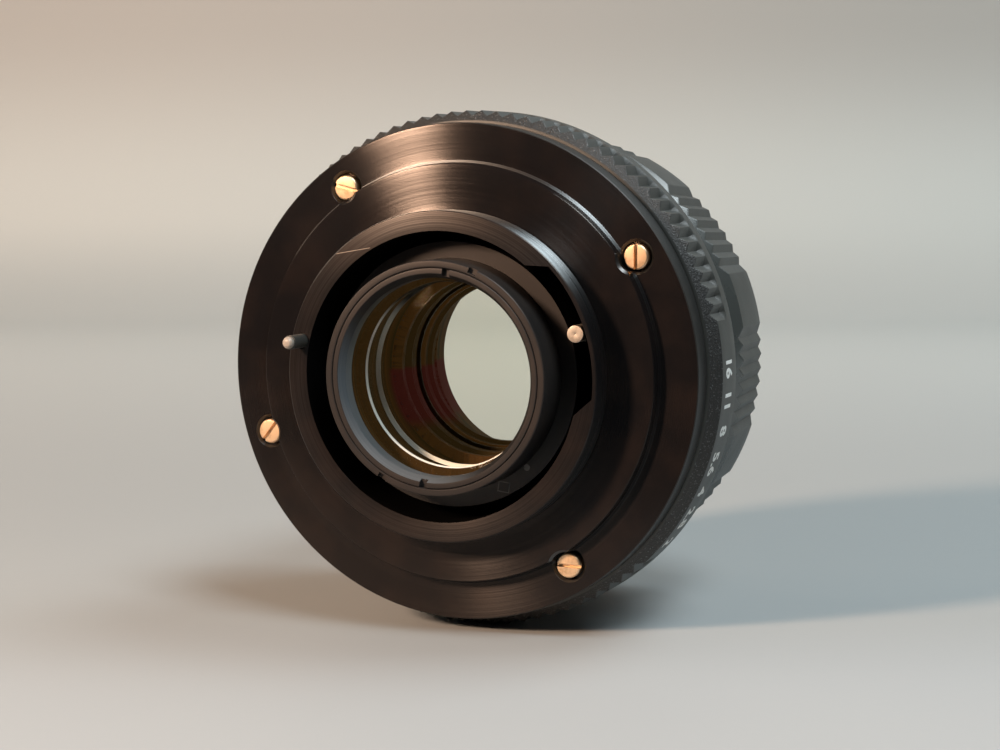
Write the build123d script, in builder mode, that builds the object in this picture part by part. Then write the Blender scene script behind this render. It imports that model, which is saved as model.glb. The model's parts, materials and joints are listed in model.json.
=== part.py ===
from build123d import *
from math import asin, atan, cos, degrees, radians, sin, sqrt, tan
import os

# Manual-focus camera lens with a pin-driven iris, lying on its side.
# The optical axis is Y: the mount faces -Y, the front glass +Y, Z is up and X is to the
# right when the mount is looked at. The origin is on the axis in the rear face of the
# mount plate. Millimetres. Radii and heights are stacks: each starts from the one before
# it and adds a named wall, step or clearance.

os.makedirs("parts", exist_ok=True)

# ---- named clearances ----
RUNNING = 0.08
SLIDING = 0.1
SHANK_GAP = 0.02
GLASS_FIT = 0.05
END_GAP = 0.15
FACE_GAP = 0.2

# ---- driving walls and steps, from the glass outward ----
REAR_GLASS_R = 12.5
FRONT_GLASS_R = 14.7
RING_LAND = 0.5
CELL_WALL = 0.9
NECK_WALL = 2.0
NECK_GAP = 0.35
WEB_GAP = 0.6
COUPLING_LIP = 1.0
STOP_PIN_BODY_R = 0.85
STOP_PIN_WALL = 0.25
COLLAR_WALL = 0.47
COUPLING_PIN_BODY_R = 1.025
COUPLING_PIN_INSET = 0.225
RECESS_WALL = 0.52
PIN_ROOM = 0.6
FINGER_INSET = 0.6
FINGER_DEPTH = 0.7
ACTUATOR_LAND = 3.1
COUPLING_LEDGE = 0.8
BARREL_WALL = 4.2
PLATE_OVERHANG = 0.8
PLATEAU_STEP = 0.5
SCREW_INSET = 1.6
APERTURE_WALL = 2.3
TUBE_STEP = 0.3
TUBE_WALL = 1.8
RETAINER_LAND = 1.0
SLEEVE_WALL = 0.7
FOCUS_WALL = 1.79
HELICOID_WALL = 3.62
FILTER_STEP = 0.5
KEY_SEAT_DEPTH = 0.4
KEY_REACH = 1.2
KEY_FLOOR_WALL = 0.35
CELL_STEP = 0.8
BASE_STEP = 0.6

# ---- radii that follow ----
RING_R = REAR_GLASS_R + RING_LAND
CELL_R = RING_R + CELL_WALL
NECK_R = CELL_R + NECK_WALL
WEB_BORE_R = NECK_R + WEB_GAP
COUPLING_IN_R = NECK_R + NECK_GAP
COLLAR_BORE_R = COUPLING_IN_R + COUPLING_LIP
STOP_PIN_R = COLLAR_BORE_R + STOP_PIN_WALL + STOP_PIN_BODY_R
COLLAR_R = STOP_PIN_R + STOP_PIN_BODY_R + COLLAR_WALL
RECESS_OUTER_R = COLLAR_R - RECESS_WALL
COUPLING_PIN_R = COUPLING_IN_R + COUPLING_PIN_INSET + COUPLING_PIN_BODY_R
ACTUATOR_IN_R = STOP_PIN_R + STOP_PIN_BODY_R + PIN_ROOM
FINGER_IN_R = ACTUATOR_IN_R + FINGER_INSET
FINGER_OUT_R = FINGER_IN_R + FINGER_DEPTH
FINGER_MID_R = (FINGER_IN_R + FINGER_OUT_R) / 2
INNER_BORE_R = FINGER_OUT_R + ACTUATOR_LAND
COUPLING_BORE_R = INNER_BORE_R + COUPLING_LEDGE
COUPLING_OUT_R = COUPLING_BORE_R - SLIDING
BARREL_WALL_R = COUPLING_BORE_R + BARREL_WALL
PLATE_R = BARREL_WALL_R + PLATE_OVERHANG
PLATEAU_R = COUPLING_BORE_R + PLATEAU_STEP
SCREW_CIRCLE_R = COUPLING_BORE_R + SCREW_INSET
APERTURE_BORE_R = BARREL_WALL_R + RUNNING
APERTURE_TIP_R = APERTURE_BORE_R + APERTURE_WALL
FRONT_TUBE_BORE_R = INNER_BORE_R + TUBE_STEP
FRONT_TUBE_R = FRONT_TUBE_BORE_R + TUBE_WALL
BLOCK_R = FRONT_TUBE_BORE_R - RUNNING
SLEEVE_BORE_R = FRONT_TUBE_R + RETAINER_LAND
HELICOID_R = SLEEVE_BORE_R - RUNNING
SLEEVE_R = SLEEVE_BORE_R + SLEEVE_WALL
FOCUS_TIP_R = SLEEVE_R + FOCUS_WALL
FRONT_BORE_R = HELICOID_R - HELICOID_WALL
FILTER_R = FRONT_BORE_R + FILTER_STEP
KEY_SEAT_R = FRONT_TUBE_BORE_R + KEY_SEAT_DEPTH
KEY_INNER_R = FRONT_TUBE_BORE_R - KEY_REACH
KEY_FLOOR_R = KEY_INNER_R - END_GAP
CELL_BORE_R = KEY_FLOOR_R - KEY_FLOOR_WALL
BASE_BORE_R = CELL_BORE_R - CELL_STEP
BAY_R = BASE_BORE_R - BASE_STEP

# ---- driving lengths along the axis ----
PLATE_FRONT = 3.4
PLATEAU_HEIGHT = 1.6
COLLAR_HEIGHT = 4.46
CELL_STAND_OUT = 1.64
COUPLING_THICKNESS = 1.2
ACTUATOR_THICKNESS = 1.3
WEB_THICKNESS = 1.4
FLANGE_ROOM = 2.4
FLANGE_THICKNESS = 0.8
IRIS_RETAINER_THICKNESS = 0.3
DRIVE_THICKNESS = 1.0
IRIS_BASE_THICKNESS = 1.0
BLADE_THICKNESS = 0.1
BLADE_PITCH = 0.2
APERTURE_WIDTH = 7.4
APERTURE_END_GAP = 0.06
INDEX_LEDGE = 0.1
INDEX_WIDTH = 6.79
FOCUS_WIDTH = 14.84
BLOCK_STAND_OUT = 0.8
BEZEL_LENGTH = 3.36
SLEEVE_LIP = 2.2
FRONT_TUBE_THREAD = 1.6
STOP_PIN_TRAVEL = 2.5
FOCUS_TRAVEL = 7.35

# ---- heights that follow ----
PLATEAU_REAR = -PLATEAU_HEIGHT
COLLAR_REAR = PLATEAU_REAR - COLLAR_HEIGHT
CELL_REAR = COLLAR_REAR - CELL_STAND_OUT
APERTURE_REAR = PLATE_FRONT + END_GAP
APERTURE_FRONT = APERTURE_REAR + APERTURE_WIDTH
COUPLING_FRONT = APERTURE_REAR + COUPLING_THICKNESS
COUPLING_STEP = COUPLING_FRONT + END_GAP
ACTUATOR_REAR = COUPLING_STEP + FACE_GAP
ACTUATOR_FRONT = ACTUATOR_REAR + ACTUATOR_THICKNESS
WEB_REAR = ACTUATOR_FRONT + FACE_GAP
WEB_FRONT = WEB_REAR + WEB_THICKNESS
FLANGE_REAR = WEB_FRONT + FLANGE_ROOM
FLANGE_FRONT = FLANGE_REAR + FLANGE_THICKNESS
RETAINER_FRONT = FLANGE_FRONT + IRIS_RETAINER_THICKNESS
DRIVE_REAR = RETAINER_FRONT + SLIDING
DRIVE_FRONT = DRIVE_REAR + DRIVE_THICKNESS
FIRST_BLADE = DRIVE_FRONT + END_GAP
BARREL_SHOULDER = APERTURE_FRONT + APERTURE_END_GAP
INDEX_REAR = BARREL_SHOULDER + INDEX_LEDGE
INDEX_FRONT = BARREL_SHOULDER + INDEX_WIDTH
FOCUS_REAR = INDEX_FRONT + FACE_GAP
FOCUS_FRONT = FOCUS_REAR + FOCUS_WIDTH
SLEEVE_REAR = FOCUS_REAR + FACE_GAP
SLEEVE_FRONT = FOCUS_FRONT - FACE_GAP
RETAINER_SEAT = SLEEVE_REAR + SLEEVE_LIP
FRONT_TUBE_END = RETAINER_SEAT + FRONT_TUBE_THREAD
BLOCK_FRONT = FOCUS_FRONT + BLOCK_STAND_OUT
BEZEL_FRONT = BLOCK_FRONT + BEZEL_LENGTH

# ---- iris ----
IRIS_BLADE_COUNT = 6
BASE_SEAT = FIRST_BLADE + IRIS_BLADE_COUNT * BLADE_PITCH + END_GAP
BASE_FRONT = BASE_SEAT + IRIS_BASE_THICKNESS
RIM_WALL = 0.45
RIM_GAP = 0.25
PIVOT_INSET = 2.7
IRIS_BLADE_SPAN = 6.3
IRIS_STOP_R = 3.7
RIM_OUT_R = FINGER_IN_R - RIM_GAP
RIM_IN_R = RIM_OUT_R - RIM_WALL
IRIS_PIVOT_R = RIM_IN_R - PIVOT_INSET
IRIS_OPEN_R = IRIS_PIVOT_R - IRIS_BLADE_SPAN

# ---- places of the linkages, degrees seen from the mount ----
SCREW_ANGLES = (32.6, 123.4, -162.2, -57.6)
SCREW_SLOT_ANGLES = (90.0, -14.0, 52.0, -2.0)
GROOVE_PITCH = 3.6
IRIS_RING_TURN = 24.0
APERTURE_TURN = 21.0
STOP_PIN_ANGLE = 167.9
COUPLING_PIN_ANGLE = 18.4
LUG_ANGLE = 78.0
FINGER_ANGLE = 200.0
CLICK_ANGLE = 235.0
KEY_ANGLES = (90.0, 270.0)
INDEX_SCREW_ANGLES = (0.0, 120.0, 240.0)
GRUB_ANGLES = (135.9, 255.9)
RECESS_ANGLES = (-18.0, -5.6, 44.0, 56.0)
CELL_SLOT_ANGLES = (68.4, 241.0)
RING_SLOT_ANGLES = (82.6, 264.0)
BLADE_CLOSING_ANGLE = degrees(2 * asin((IRIS_OPEN_R - IRIS_STOP_R) / (2 * IRIS_PIVOT_R)))


def ring_section(inner, outer, rear, front):
    """Corners (radius, height along the axis) of a plain ring's half section."""
    return [(inner, rear), (outer, rear), (outer, front), (inner, front)]


def polar(radius, angle):
    """Point at a radius and an angle in degrees in a plane square to the axis."""
    return (radius * cos(radians(angle)), radius * sin(radians(angle)))


def rear_plane(height, turn=0.0):
    """Sketch plane square to the axis and seen from the mount, turned by some degrees."""
    x_dir = (cos(radians(turn)), 0, sin(radians(turn)))
    return Plane(origin=(0, height, 0), x_dir=x_dir, z_dir=(0, -1, 0))


def radial_plane(radius, angle, height):
    """Sketch plane facing outward at a radius, its local x along the optical axis."""
    outward = (cos(radians(angle)), 0, sin(radians(angle)))
    x, z = polar(radius, angle)
    return Plane(origin=(x, height, z), x_dir=(0, 1, 0), z_dir=outward)


def tapered_plane(radius, angle, height, slope):
    """Sketch plane square to a line on a cone, its local x outward; the slope is in radians."""
    outward = Vector(cos(radians(angle)), 0, sin(radians(angle)))
    forward = Vector(0, 1, 0)
    return Plane(
        origin=outward * radius + forward * height,
        x_dir=outward * cos(slope) + forward * sin(slope),
        z_dir=forward * cos(slope) - outward * sin(slope),
    )


def mid_arc(radius, centre, half_span):
    """Centre line of an arc slot about the axis, drawn in a sketch's own x and y."""
    return CenterArc((0, 0), radius, centre - half_span, 2 * half_span)


def finish(builder, label):
    """Labels a finished piece and writes its STEP file."""
    builder.part.label = label
    export_step(builder.part, f"parts/{label}.step")


def groove_tool(tip_r, depth, rear, full_end, run_out_end, groups, per_group, start, step):
    """V grooves along the axis in groups round the ring, each running out at its front end."""
    half_width = 0.475 * radians(GROOVE_PITCH) * tip_r
    proud = depth / 2
    flare = half_width * (1 + proud / depth)
    with BuildPart() as tool:
        with BuildSketch(rear_plane(rear)):
            for group in range(groups):
                with PolarLocations(
                    tip_r, per_group, start + group * step, per_group * GROOVE_PITCH
                ):
                    Polygon((proud, flare), (-depth, 0), (proud, -flare))
        extrude(amount=-(run_out_end - rear))
        with BuildSketch():
            Polygon(
                (tip_r - depth - proud, rear),
                (tip_r - depth - proud, full_end),
                (tip_r - depth, full_end),
                (tip_r, run_out_end),
                (tip_r + 2 * proud, run_out_end),
                (tip_r + 2 * proud, rear),
            )
        revolve(axis=Axis.Y, mode=Mode.INTERSECT)
    return tool.part


def face_points(rim, sag, clear):
    """Three points of a spherical face: its rim, half way in and its centre."""
    sphere = (clear**2 + sag**2) / (2 * sag)
    middle = rim + sag - sphere * (1 - sqrt(1 - (clear / 2 / sphere) ** 2))
    return [(0, rim + sag), (clear / 2, middle), (clear, rim)]


def glass(label, radius, rear, front):
    """Lens element; each face is (rim height, sag towards the front, clear radius)."""
    rear_arc = face_points(*rear)
    front_arc = face_points(*front)
    with BuildPart() as element:
        with BuildSketch():
            with BuildLine():
                ThreePointArc(*rear_arc)
                Polyline(rear_arc[2], (radius, rear[0]), (radius, front[0]), front_arc[2])
                ThreePointArc(*front_arc)
                Line(front_arc[0], rear_arc[0])
            make_face()
        revolve(axis=Axis.Y)
    finish(element, label)


# ---- mount plate: flange, raised inner plate and collar in one piece ----
EDGE = 0.15
PLATEAU_DRAFT = 0.35
COLLAR_GROOVE_Y = -3.65
COLLAR_GROOVE_HALF = 0.3
COLLAR_GROOVE_SLOPE = 0.1
RELIEF_WIDTH = 0.4
RELIEF_DEPTH = 0.25
SCREW_HEAD_R = 1.5
SCREW_HEAD_GAP = 0.3
SCREW_SHANK_R = 0.8
COUNTERBORE_R = SCREW_HEAD_R + SCREW_HEAD_GAP
COUNTERBORE_FLOOR = 1.0
RECESS_IN_R = COUPLING_IN_R
with BuildPart() as mount_plate:
    with BuildSketch():
        Polygon(
            (COLLAR_BORE_R, COLLAR_REAR),
            (COLLAR_R - EDGE, COLLAR_REAR),
            (COLLAR_R, COLLAR_REAR + EDGE),
            (COLLAR_R, COLLAR_GROOVE_Y - COLLAR_GROOVE_HALF),
            (COLLAR_R - EDGE, COLLAR_GROOVE_Y - COLLAR_GROOVE_HALF + COLLAR_GROOVE_SLOPE),
            (COLLAR_R - EDGE, COLLAR_GROOVE_Y + COLLAR_GROOVE_HALF - COLLAR_GROOVE_SLOPE),
            (COLLAR_R, COLLAR_GROOVE_Y + COLLAR_GROOVE_HALF),
            (COLLAR_R, PLATEAU_REAR - RELIEF_WIDTH - COLLAR_GROOVE_SLOPE),
            (COLLAR_R - RELIEF_DEPTH, PLATEAU_REAR - RELIEF_WIDTH),
            (COLLAR_R - RELIEF_DEPTH, PLATEAU_REAR),
            (PLATEAU_R - PLATEAU_DRAFT, PLATEAU_REAR),
            (PLATEAU_R, 0),
            (PLATE_R - EDGE, 0),
            (PLATE_R, EDGE),
            (PLATE_R, PLATE_FRONT),
            (COLLAR_BORE_R, PLATE_FRONT),
        )
    revolve(axis=Axis.Y)
    # open recess in the bore that the coupling pin sweeps
    with BuildSketch(rear_plane(COLLAR_REAR)):
        inner_start, outer_start, outer_end, inner_end = RECESS_ANGLES
        with BuildLine():
            Line(polar(RECESS_IN_R, inner_start), polar(RECESS_OUTER_R, outer_start))
            CenterArc((0, 0), RECESS_OUTER_R, outer_start, outer_end - outer_start)
            Line(polar(RECESS_OUTER_R, outer_end), polar(RECESS_IN_R, inner_end))
            CenterArc((0, 0), RECESS_IN_R, inner_start, inner_end - inner_start)
        make_face()
    extrude(amount=-(PLATE_FRONT - COLLAR_REAR), mode=Mode.SUBTRACT)
    # stop pin guide
    with BuildSketch(rear_plane(COLLAR_REAR)):
        with Locations(polar(STOP_PIN_R, STOP_PIN_ANGLE)):
            Circle(STOP_PIN_BODY_R + SLIDING)
    extrude(amount=-(PLATE_FRONT - COLLAR_REAR), mode=Mode.SUBTRACT)
    for angle in SCREW_ANGLES:
        with Locations(rear_plane(PLATEAU_REAR) * Location((*polar(SCREW_CIRCLE_R, angle), 0))):
            CounterBoreHole(
                SCREW_SHANK_R + SLIDING,
                COUNTERBORE_R,
                COUNTERBORE_FLOOR - PLATEAU_REAR,
                PLATE_FRONT - PLATEAU_REAR,
            )
finish(mount_plate, "mount_plate")

# ---- four slotted screws that hold the plate to the barrel ----
SCREW_HEAD_REAR = -0.35
SCREW_LENGTH = 7.4
SCREW_TAP_ROOM = 0.3
SCREW_SLOT_WIDTH = 0.5
SCREW_SLOT_DEPTH = 0.6
SCREW_EDGE = 0.2
with BuildPart() as mount_screws:
    for angle in SCREW_ANGLES:
        centre = polar(SCREW_CIRCLE_R, angle)
        with BuildSketch(rear_plane(SCREW_HEAD_REAR)):
            with Locations(centre):
                Circle(SCREW_HEAD_R)
        extrude(amount=-(COUNTERBORE_FLOOR - SCREW_HEAD_REAR))
        with BuildSketch(rear_plane(COUNTERBORE_FLOOR)):
            with Locations(centre):
                Circle(SCREW_SHANK_R)
        extrude(amount=-(SCREW_LENGTH - COUNTERBORE_FLOOR))
    chamfer(mount_screws.faces().sort_by(Axis.Y)[0:4].edges(), SCREW_EDGE)
    for angle, slot_angle in zip(SCREW_ANGLES, SCREW_SLOT_ANGLES):
        with BuildSketch(rear_plane(SCREW_HEAD_REAR)):
            with Locations(Location((*polar(SCREW_CIRCLE_R, angle), 0), slot_angle)):
                Rectangle(4 * SCREW_HEAD_R, SCREW_SLOT_WIDTH)
                Circle(COUNTERBORE_R, mode=Mode.INTERSECT)
        extrude(amount=-SCREW_SLOT_DEPTH, mode=Mode.SUBTRACT)
finish(mount_screws, "mount_screws")

# ---- main barrel: rear wall, web and front tube ----
THREAD_DEPTH = 0.4
THREAD_R = FRONT_TUBE_R - THREAD_DEPTH
LUG_WIDTH = 3.4
LUG_ROOM_ANGLE = 1.1
FINGER_WIDTH = 1.6
FINGER_ROOM_ANGLE = 0.5
FINGER_SLOT_WIDTH = FINGER_DEPTH + 5 * SLIDING
FINGER_SWEEP_MID = FINGER_ANGLE + IRIS_RING_TURN / 2
FINGER_HALF_SPAN = IRIS_RING_TURN / 2 + degrees(FINGER_WIDTH / 2 / FINGER_IN_R) + FINGER_ROOM_ANGLE
KEY_WIDTH = 2.0
KEY_LENGTH = 6.2
KEY_SET_BACK = 3.0
KEY_SCREW_SET_BACK = 2.2
KEY_SCREW_R = 0.6
KEY_REAR = BARREL_SHOULDER + KEY_SET_BACK
KEY_MID = KEY_REAR + KEY_LENGTH / 2
KEY_FRONT = KEY_REAR + KEY_LENGTH
KEY_SCREW_Y = KEY_REAR + KEY_SCREW_SET_BACK
INDEX_SCREW_SET_BACK = 3.0
INDEX_SCREW_Y = BARREL_SHOULDER + INDEX_SCREW_SET_BACK
GRUB_R = 0.7
GRUB_DIMPLE = 0.5
CLICK_SET_BACK = 3.45
CLICK_Y = APERTURE_REAR + CLICK_SET_BACK
CLICK_BALL_R = 0.8
CLICK_BALL_PROUD = 0.05
CLICK_HOLE_DEPTH = 3.8
CLICK_FLOOR_R = BARREL_WALL_R - CLICK_HOLE_DEPTH
PIN_ROD_R = 0.5
finger_path = mid_arc(FINGER_MID_R, FINGER_SWEEP_MID, FINGER_HALF_SPAN)
with BuildPart() as main_barrel:
    with BuildSketch():
        Polygon(
            (COUPLING_BORE_R, PLATE_FRONT),
            (BARREL_WALL_R, PLATE_FRONT),
            (BARREL_WALL_R, BARREL_SHOULDER),
            (FRONT_TUBE_R, BARREL_SHOULDER),
            (FRONT_TUBE_R, RETAINER_SEAT),
            (THREAD_R, RETAINER_SEAT),
            (THREAD_R, FRONT_TUBE_END),
            (FRONT_TUBE_BORE_R, FRONT_TUBE_END),
            (FRONT_TUBE_BORE_R, WEB_FRONT),
            (WEB_BORE_R, WEB_FRONT),
            (WEB_BORE_R, WEB_REAR),
            (INNER_BORE_R, WEB_REAR),
            (INNER_BORE_R, COUPLING_STEP),
            (COUPLING_BORE_R, COUPLING_STEP),
        )
    revolve(axis=Axis.Y)
    # tapped holes for the mount screws
    with BuildSketch(rear_plane(PLATE_FRONT)):
        for angle in SCREW_ANGLES:
            with Locations(polar(SCREW_CIRCLE_R, angle)):
                Circle(SCREW_SHANK_R + SHANK_GAP)
    extrude(amount=-(SCREW_LENGTH + SCREW_TAP_ROOM - PLATE_FRONT), mode=Mode.SUBTRACT)
    # gap in the rear wall that the coupling lug sweeps
    with BuildSketch(rear_plane(PLATE_FRONT)):
        lug_half = APERTURE_TURN + degrees(LUG_WIDTH / 2 / COUPLING_BORE_R) + LUG_ROOM_ANGLE
        gap_in_r = COUPLING_BORE_R - COUPLING_LEDGE / 2
        gap_out_r = APERTURE_TIP_R
        with BuildLine():
            CenterArc((0, 0), gap_in_r, LUG_ANGLE - lug_half, 2 * lug_half)
            CenterArc((0, 0), gap_out_r, LUG_ANGLE - lug_half, 2 * lug_half)
            for side in (-1, 1):
                edge_angle = LUG_ANGLE + side * lug_half
                Line(polar(gap_in_r, edge_angle), polar(gap_out_r, edge_angle))
        make_face()
    extrude(amount=-(COUPLING_STEP + END_GAP - PLATE_FRONT), mode=Mode.SUBTRACT)
    # arc slot for the iris finger and bearing for the stop pin rod
    with BuildSketch(rear_plane(WEB_REAR)):
        SlotArc(finger_path, FINGER_SLOT_WIDTH)
        with Locations(polar(STOP_PIN_R, STOP_PIN_ANGLE)):
            Circle(PIN_ROD_R + SLIDING / 2)
    extrude(amount=-(WEB_FRONT - WEB_REAR), mode=Mode.SUBTRACT)
    # seats and screw holes for the two guide keys
    for angle in KEY_ANGLES:
        with BuildSketch(radial_plane(KEY_SEAT_R, angle, KEY_MID)):
            Rectangle(KEY_LENGTH, KEY_WIDTH)
        extrude(amount=-2 * KEY_SEAT_DEPTH, mode=Mode.SUBTRACT)
        with BuildSketch(radial_plane(KEY_SEAT_R, angle, KEY_SCREW_Y)):
            Circle(KEY_SCREW_R + SHANK_GAP)
        extrude(amount=TUBE_WALL, mode=Mode.SUBTRACT)
    # grub screw dimples under the index ring
    for angle in INDEX_SCREW_ANGLES:
        with BuildSketch(radial_plane(FRONT_TUBE_R - GRUB_DIMPLE, angle, INDEX_SCREW_Y)):
            Circle(GRUB_R + SHANK_GAP)
        extrude(amount=2 * GRUB_DIMPLE, mode=Mode.SUBTRACT)
    # blind hole for the click ball and its spring
    with BuildSketch(radial_plane(CLICK_FLOOR_R, CLICK_ANGLE, CLICK_Y)):
        Circle(CLICK_BALL_R + SLIDING / 2)
    extrude(amount=2 * CLICK_HOLE_DEPTH, mode=Mode.SUBTRACT)
finish(main_barrel, "main_barrel")

# ---- fixed index ring between the aperture and focus rings ----
INDEX_STEP = 1.4
INDEX_LAND = 2.4
INDEX_TAPER = 1.3
INDEX_R = BARREL_WALL_R + INDEX_STEP
with BuildPart() as index_ring:
    with BuildSketch():
        Polygon(
            (FRONT_TUBE_R + SHANK_GAP, BARREL_SHOULDER),
            (BARREL_WALL_R, BARREL_SHOULDER),
            (BARREL_WALL_R, INDEX_REAR),
            (INDEX_R, INDEX_REAR),
            (INDEX_R, INDEX_REAR + INDEX_LAND),
            (INDEX_R - INDEX_TAPER, INDEX_FRONT),
            (FRONT_TUBE_R + SHANK_GAP, INDEX_FRONT),
        )
    revolve(axis=Axis.Y)
    for angle in INDEX_SCREW_ANGLES:
        with BuildSketch(radial_plane(FRONT_TUBE_R, angle, INDEX_SCREW_Y)):
            Circle(GRUB_R + SHANK_GAP)
        extrude(amount=2 * (INDEX_R - FRONT_TUBE_R), mode=Mode.SUBTRACT)
finish(index_ring, "index_ring")

GRUB_LENGTH = 3.6
with BuildPart() as index_ring_screws:
    for angle in INDEX_SCREW_ANGLES:
        with BuildSketch(radial_plane(FRONT_TUBE_R - GRUB_DIMPLE, angle, INDEX_SCREW_Y)):
            Circle(GRUB_R)
        extrude(amount=GRUB_LENGTH)
finish(index_ring_screws, "index_ring_screws")

# ---- ring that keeps the focusing ring on the front tube ----
SPANNER_WIDTH = 1.2
SPANNER_DEPTH = 0.8
RETAINER_END = FRONT_TUBE_END - SLIDING
RETAINER_OUT_R = SLEEVE_BORE_R - FACE_GAP
with BuildPart() as focus_retaining_ring:
    with BuildSketch():
        Polygon(*ring_section(THREAD_R + SHANK_GAP, RETAINER_OUT_R, RETAINER_SEAT, RETAINER_END))
    revolve(axis=Axis.Y)
    with BuildSketch(rear_plane(RETAINER_END)):
        with PolarLocations((THREAD_R + RETAINER_OUT_R) / 2, 2, start_angle=45):
            Rectangle(2 * (RETAINER_OUT_R - THREAD_R), SPANNER_WIDTH)
    extrude(amount=SPANNER_DEPTH, mode=Mode.SUBTRACT)
finish(focus_retaining_ring, "focus_retaining_ring")

# ---- straight guide keys that let the lens block slide but not turn ----
KEY_SCREW_SINK = 0.3
with BuildPart() as guide_keys:
    for angle in KEY_ANGLES:
        with BuildSketch(radial_plane(KEY_INNER_R, angle, KEY_MID)):
            Rectangle(KEY_LENGTH, KEY_WIDTH)
        extrude(amount=KEY_SEAT_R - KEY_INNER_R)
    for angle in KEY_ANGLES:
        with BuildSketch(radial_plane(KEY_INNER_R + KEY_SCREW_SINK, angle, KEY_SCREW_Y)):
            Circle(KEY_SCREW_R + SHANK_GAP)
        extrude(amount=TUBE_WALL, mode=Mode.SUBTRACT)
finish(guide_keys, "guide_keys")

with BuildPart() as guide_key_screws:
    for angle in KEY_ANGLES:
        with BuildSketch(radial_plane(KEY_INNER_R + KEY_SCREW_SINK, angle, KEY_SCREW_Y)):
            Circle(KEY_SCREW_R)
        extrude(amount=FRONT_TUBE_R - KEY_INNER_R - KEY_SCREW_SINK - SLIDING)
finish(guide_key_screws, "guide_key_screws")

# ---- click stop: ball and spring in the barrel wall ----
CLICK_BALL_CENTRE_R = BARREL_WALL_R + CLICK_BALL_PROUD - CLICK_BALL_R
with BuildPart() as click_ball:
    with BuildSketch(radial_plane(CLICK_BALL_CENTRE_R, CLICK_ANGLE, CLICK_Y)):
        Circle(CLICK_BALL_R)
        Rectangle(2 * CLICK_BALL_R, CLICK_BALL_R, align=(Align.CENTER, Align.MAX), mode=Mode.SUBTRACT)
    revolve(axis=Axis((
        CLICK_BALL_CENTRE_R * cos(radians(CLICK_ANGLE)),
        CLICK_Y,
        CLICK_BALL_CENTRE_R * sin(radians(CLICK_ANGLE)),
    ), (0, 1, 0)))
finish(click_ball, "click_ball")

CLICK_SPRING_R = 0.5
CLICK_WIRE = 0.12
with BuildPart() as click_spring:
    with BuildSketch(radial_plane(CLICK_FLOOR_R, CLICK_ANGLE, CLICK_Y)):
        Circle(CLICK_SPRING_R)
        Circle(CLICK_SPRING_R - 2 * CLICK_WIRE, mode=Mode.SUBTRACT)
    extrude(amount=CLICK_BALL_CENTRE_R - CLICK_BALL_R - CLICK_FLOOR_R)
finish(click_spring, "click_spring")

# ---- aperture ring with its V grooved grip, 100 divisions round the full circle ----
APERTURE_DEPTH = 0.65
GRIP_START_ANGLE = 14.1
GRIP_GROOVE_COUNT = 84
GRIP_FULL = 4.75
GRIP_RUN_OUT = 5.4
LIP_STEP = 1.15
LIP_LAND = 0.25
LIP_RISE = 0.05
CONE_LENGTH = 1.32
NOTCH_REACH = 0.65
LUG_REACH = 0.6
CLICK_NOTCH_R = 0.5
CLICK_NOTCH_INSET = 0.2
CLICK_NOTCH_COUNT = 7
LIP_R = BARREL_WALL_R + LIP_STEP
NOTCH_R = BARREL_WALL_R + NOTCH_REACH
LUG_TIP_R = BARREL_WALL_R + LUG_REACH
aperture_grooves = groove_tool(
    APERTURE_TIP_R, APERTURE_DEPTH, PLATE_FRONT, APERTURE_REAR + GRIP_FULL,
    APERTURE_REAR + GRIP_RUN_OUT, 1, GRIP_GROOVE_COUNT, GRIP_START_ANGLE, 0.0
)
with BuildPart() as aperture_ring:
    with BuildSketch():
        Polygon(
            (APERTURE_BORE_R, APERTURE_REAR),
            (LIP_R - LIP_LAND, APERTURE_REAR),
            (LIP_R, APERTURE_REAR + LIP_RISE),
            (APERTURE_TIP_R, APERTURE_REAR + CONE_LENGTH),
            (APERTURE_TIP_R, APERTURE_FRONT - EDGE),
            (APERTURE_TIP_R - EDGE, APERTURE_FRONT),
            (APERTURE_BORE_R, APERTURE_FRONT),
        )
    revolve(axis=Axis.Y)
    add(aperture_grooves, mode=Mode.SUBTRACT)
    with BuildSketch(rear_plane(APERTURE_REAR, LUG_ANGLE)):
        with Locations(((BARREL_WALL_R + NOTCH_R) / 2, 0)):
            Rectangle(NOTCH_REACH, LUG_WIDTH)
    extrude(amount=-COUPLING_THICKNESS, mode=Mode.SUBTRACT)
    # click notches, one per stop
    with BuildSketch(rear_plane(CLICK_Y - 2 * CLICK_NOTCH_R)):
        with PolarLocations(
            BARREL_WALL_R - CLICK_NOTCH_INSET,
            CLICK_NOTCH_COUNT,
            CLICK_ANGLE - APERTURE_TURN,
            2 * APERTURE_TURN * CLICK_NOTCH_COUNT / (CLICK_NOTCH_COUNT - 1),
        ):
            Circle(CLICK_NOTCH_R)
    extrude(amount=-4 * CLICK_NOTCH_R, mode=Mode.SUBTRACT)
finish(aperture_ring, "aperture_ring")

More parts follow.
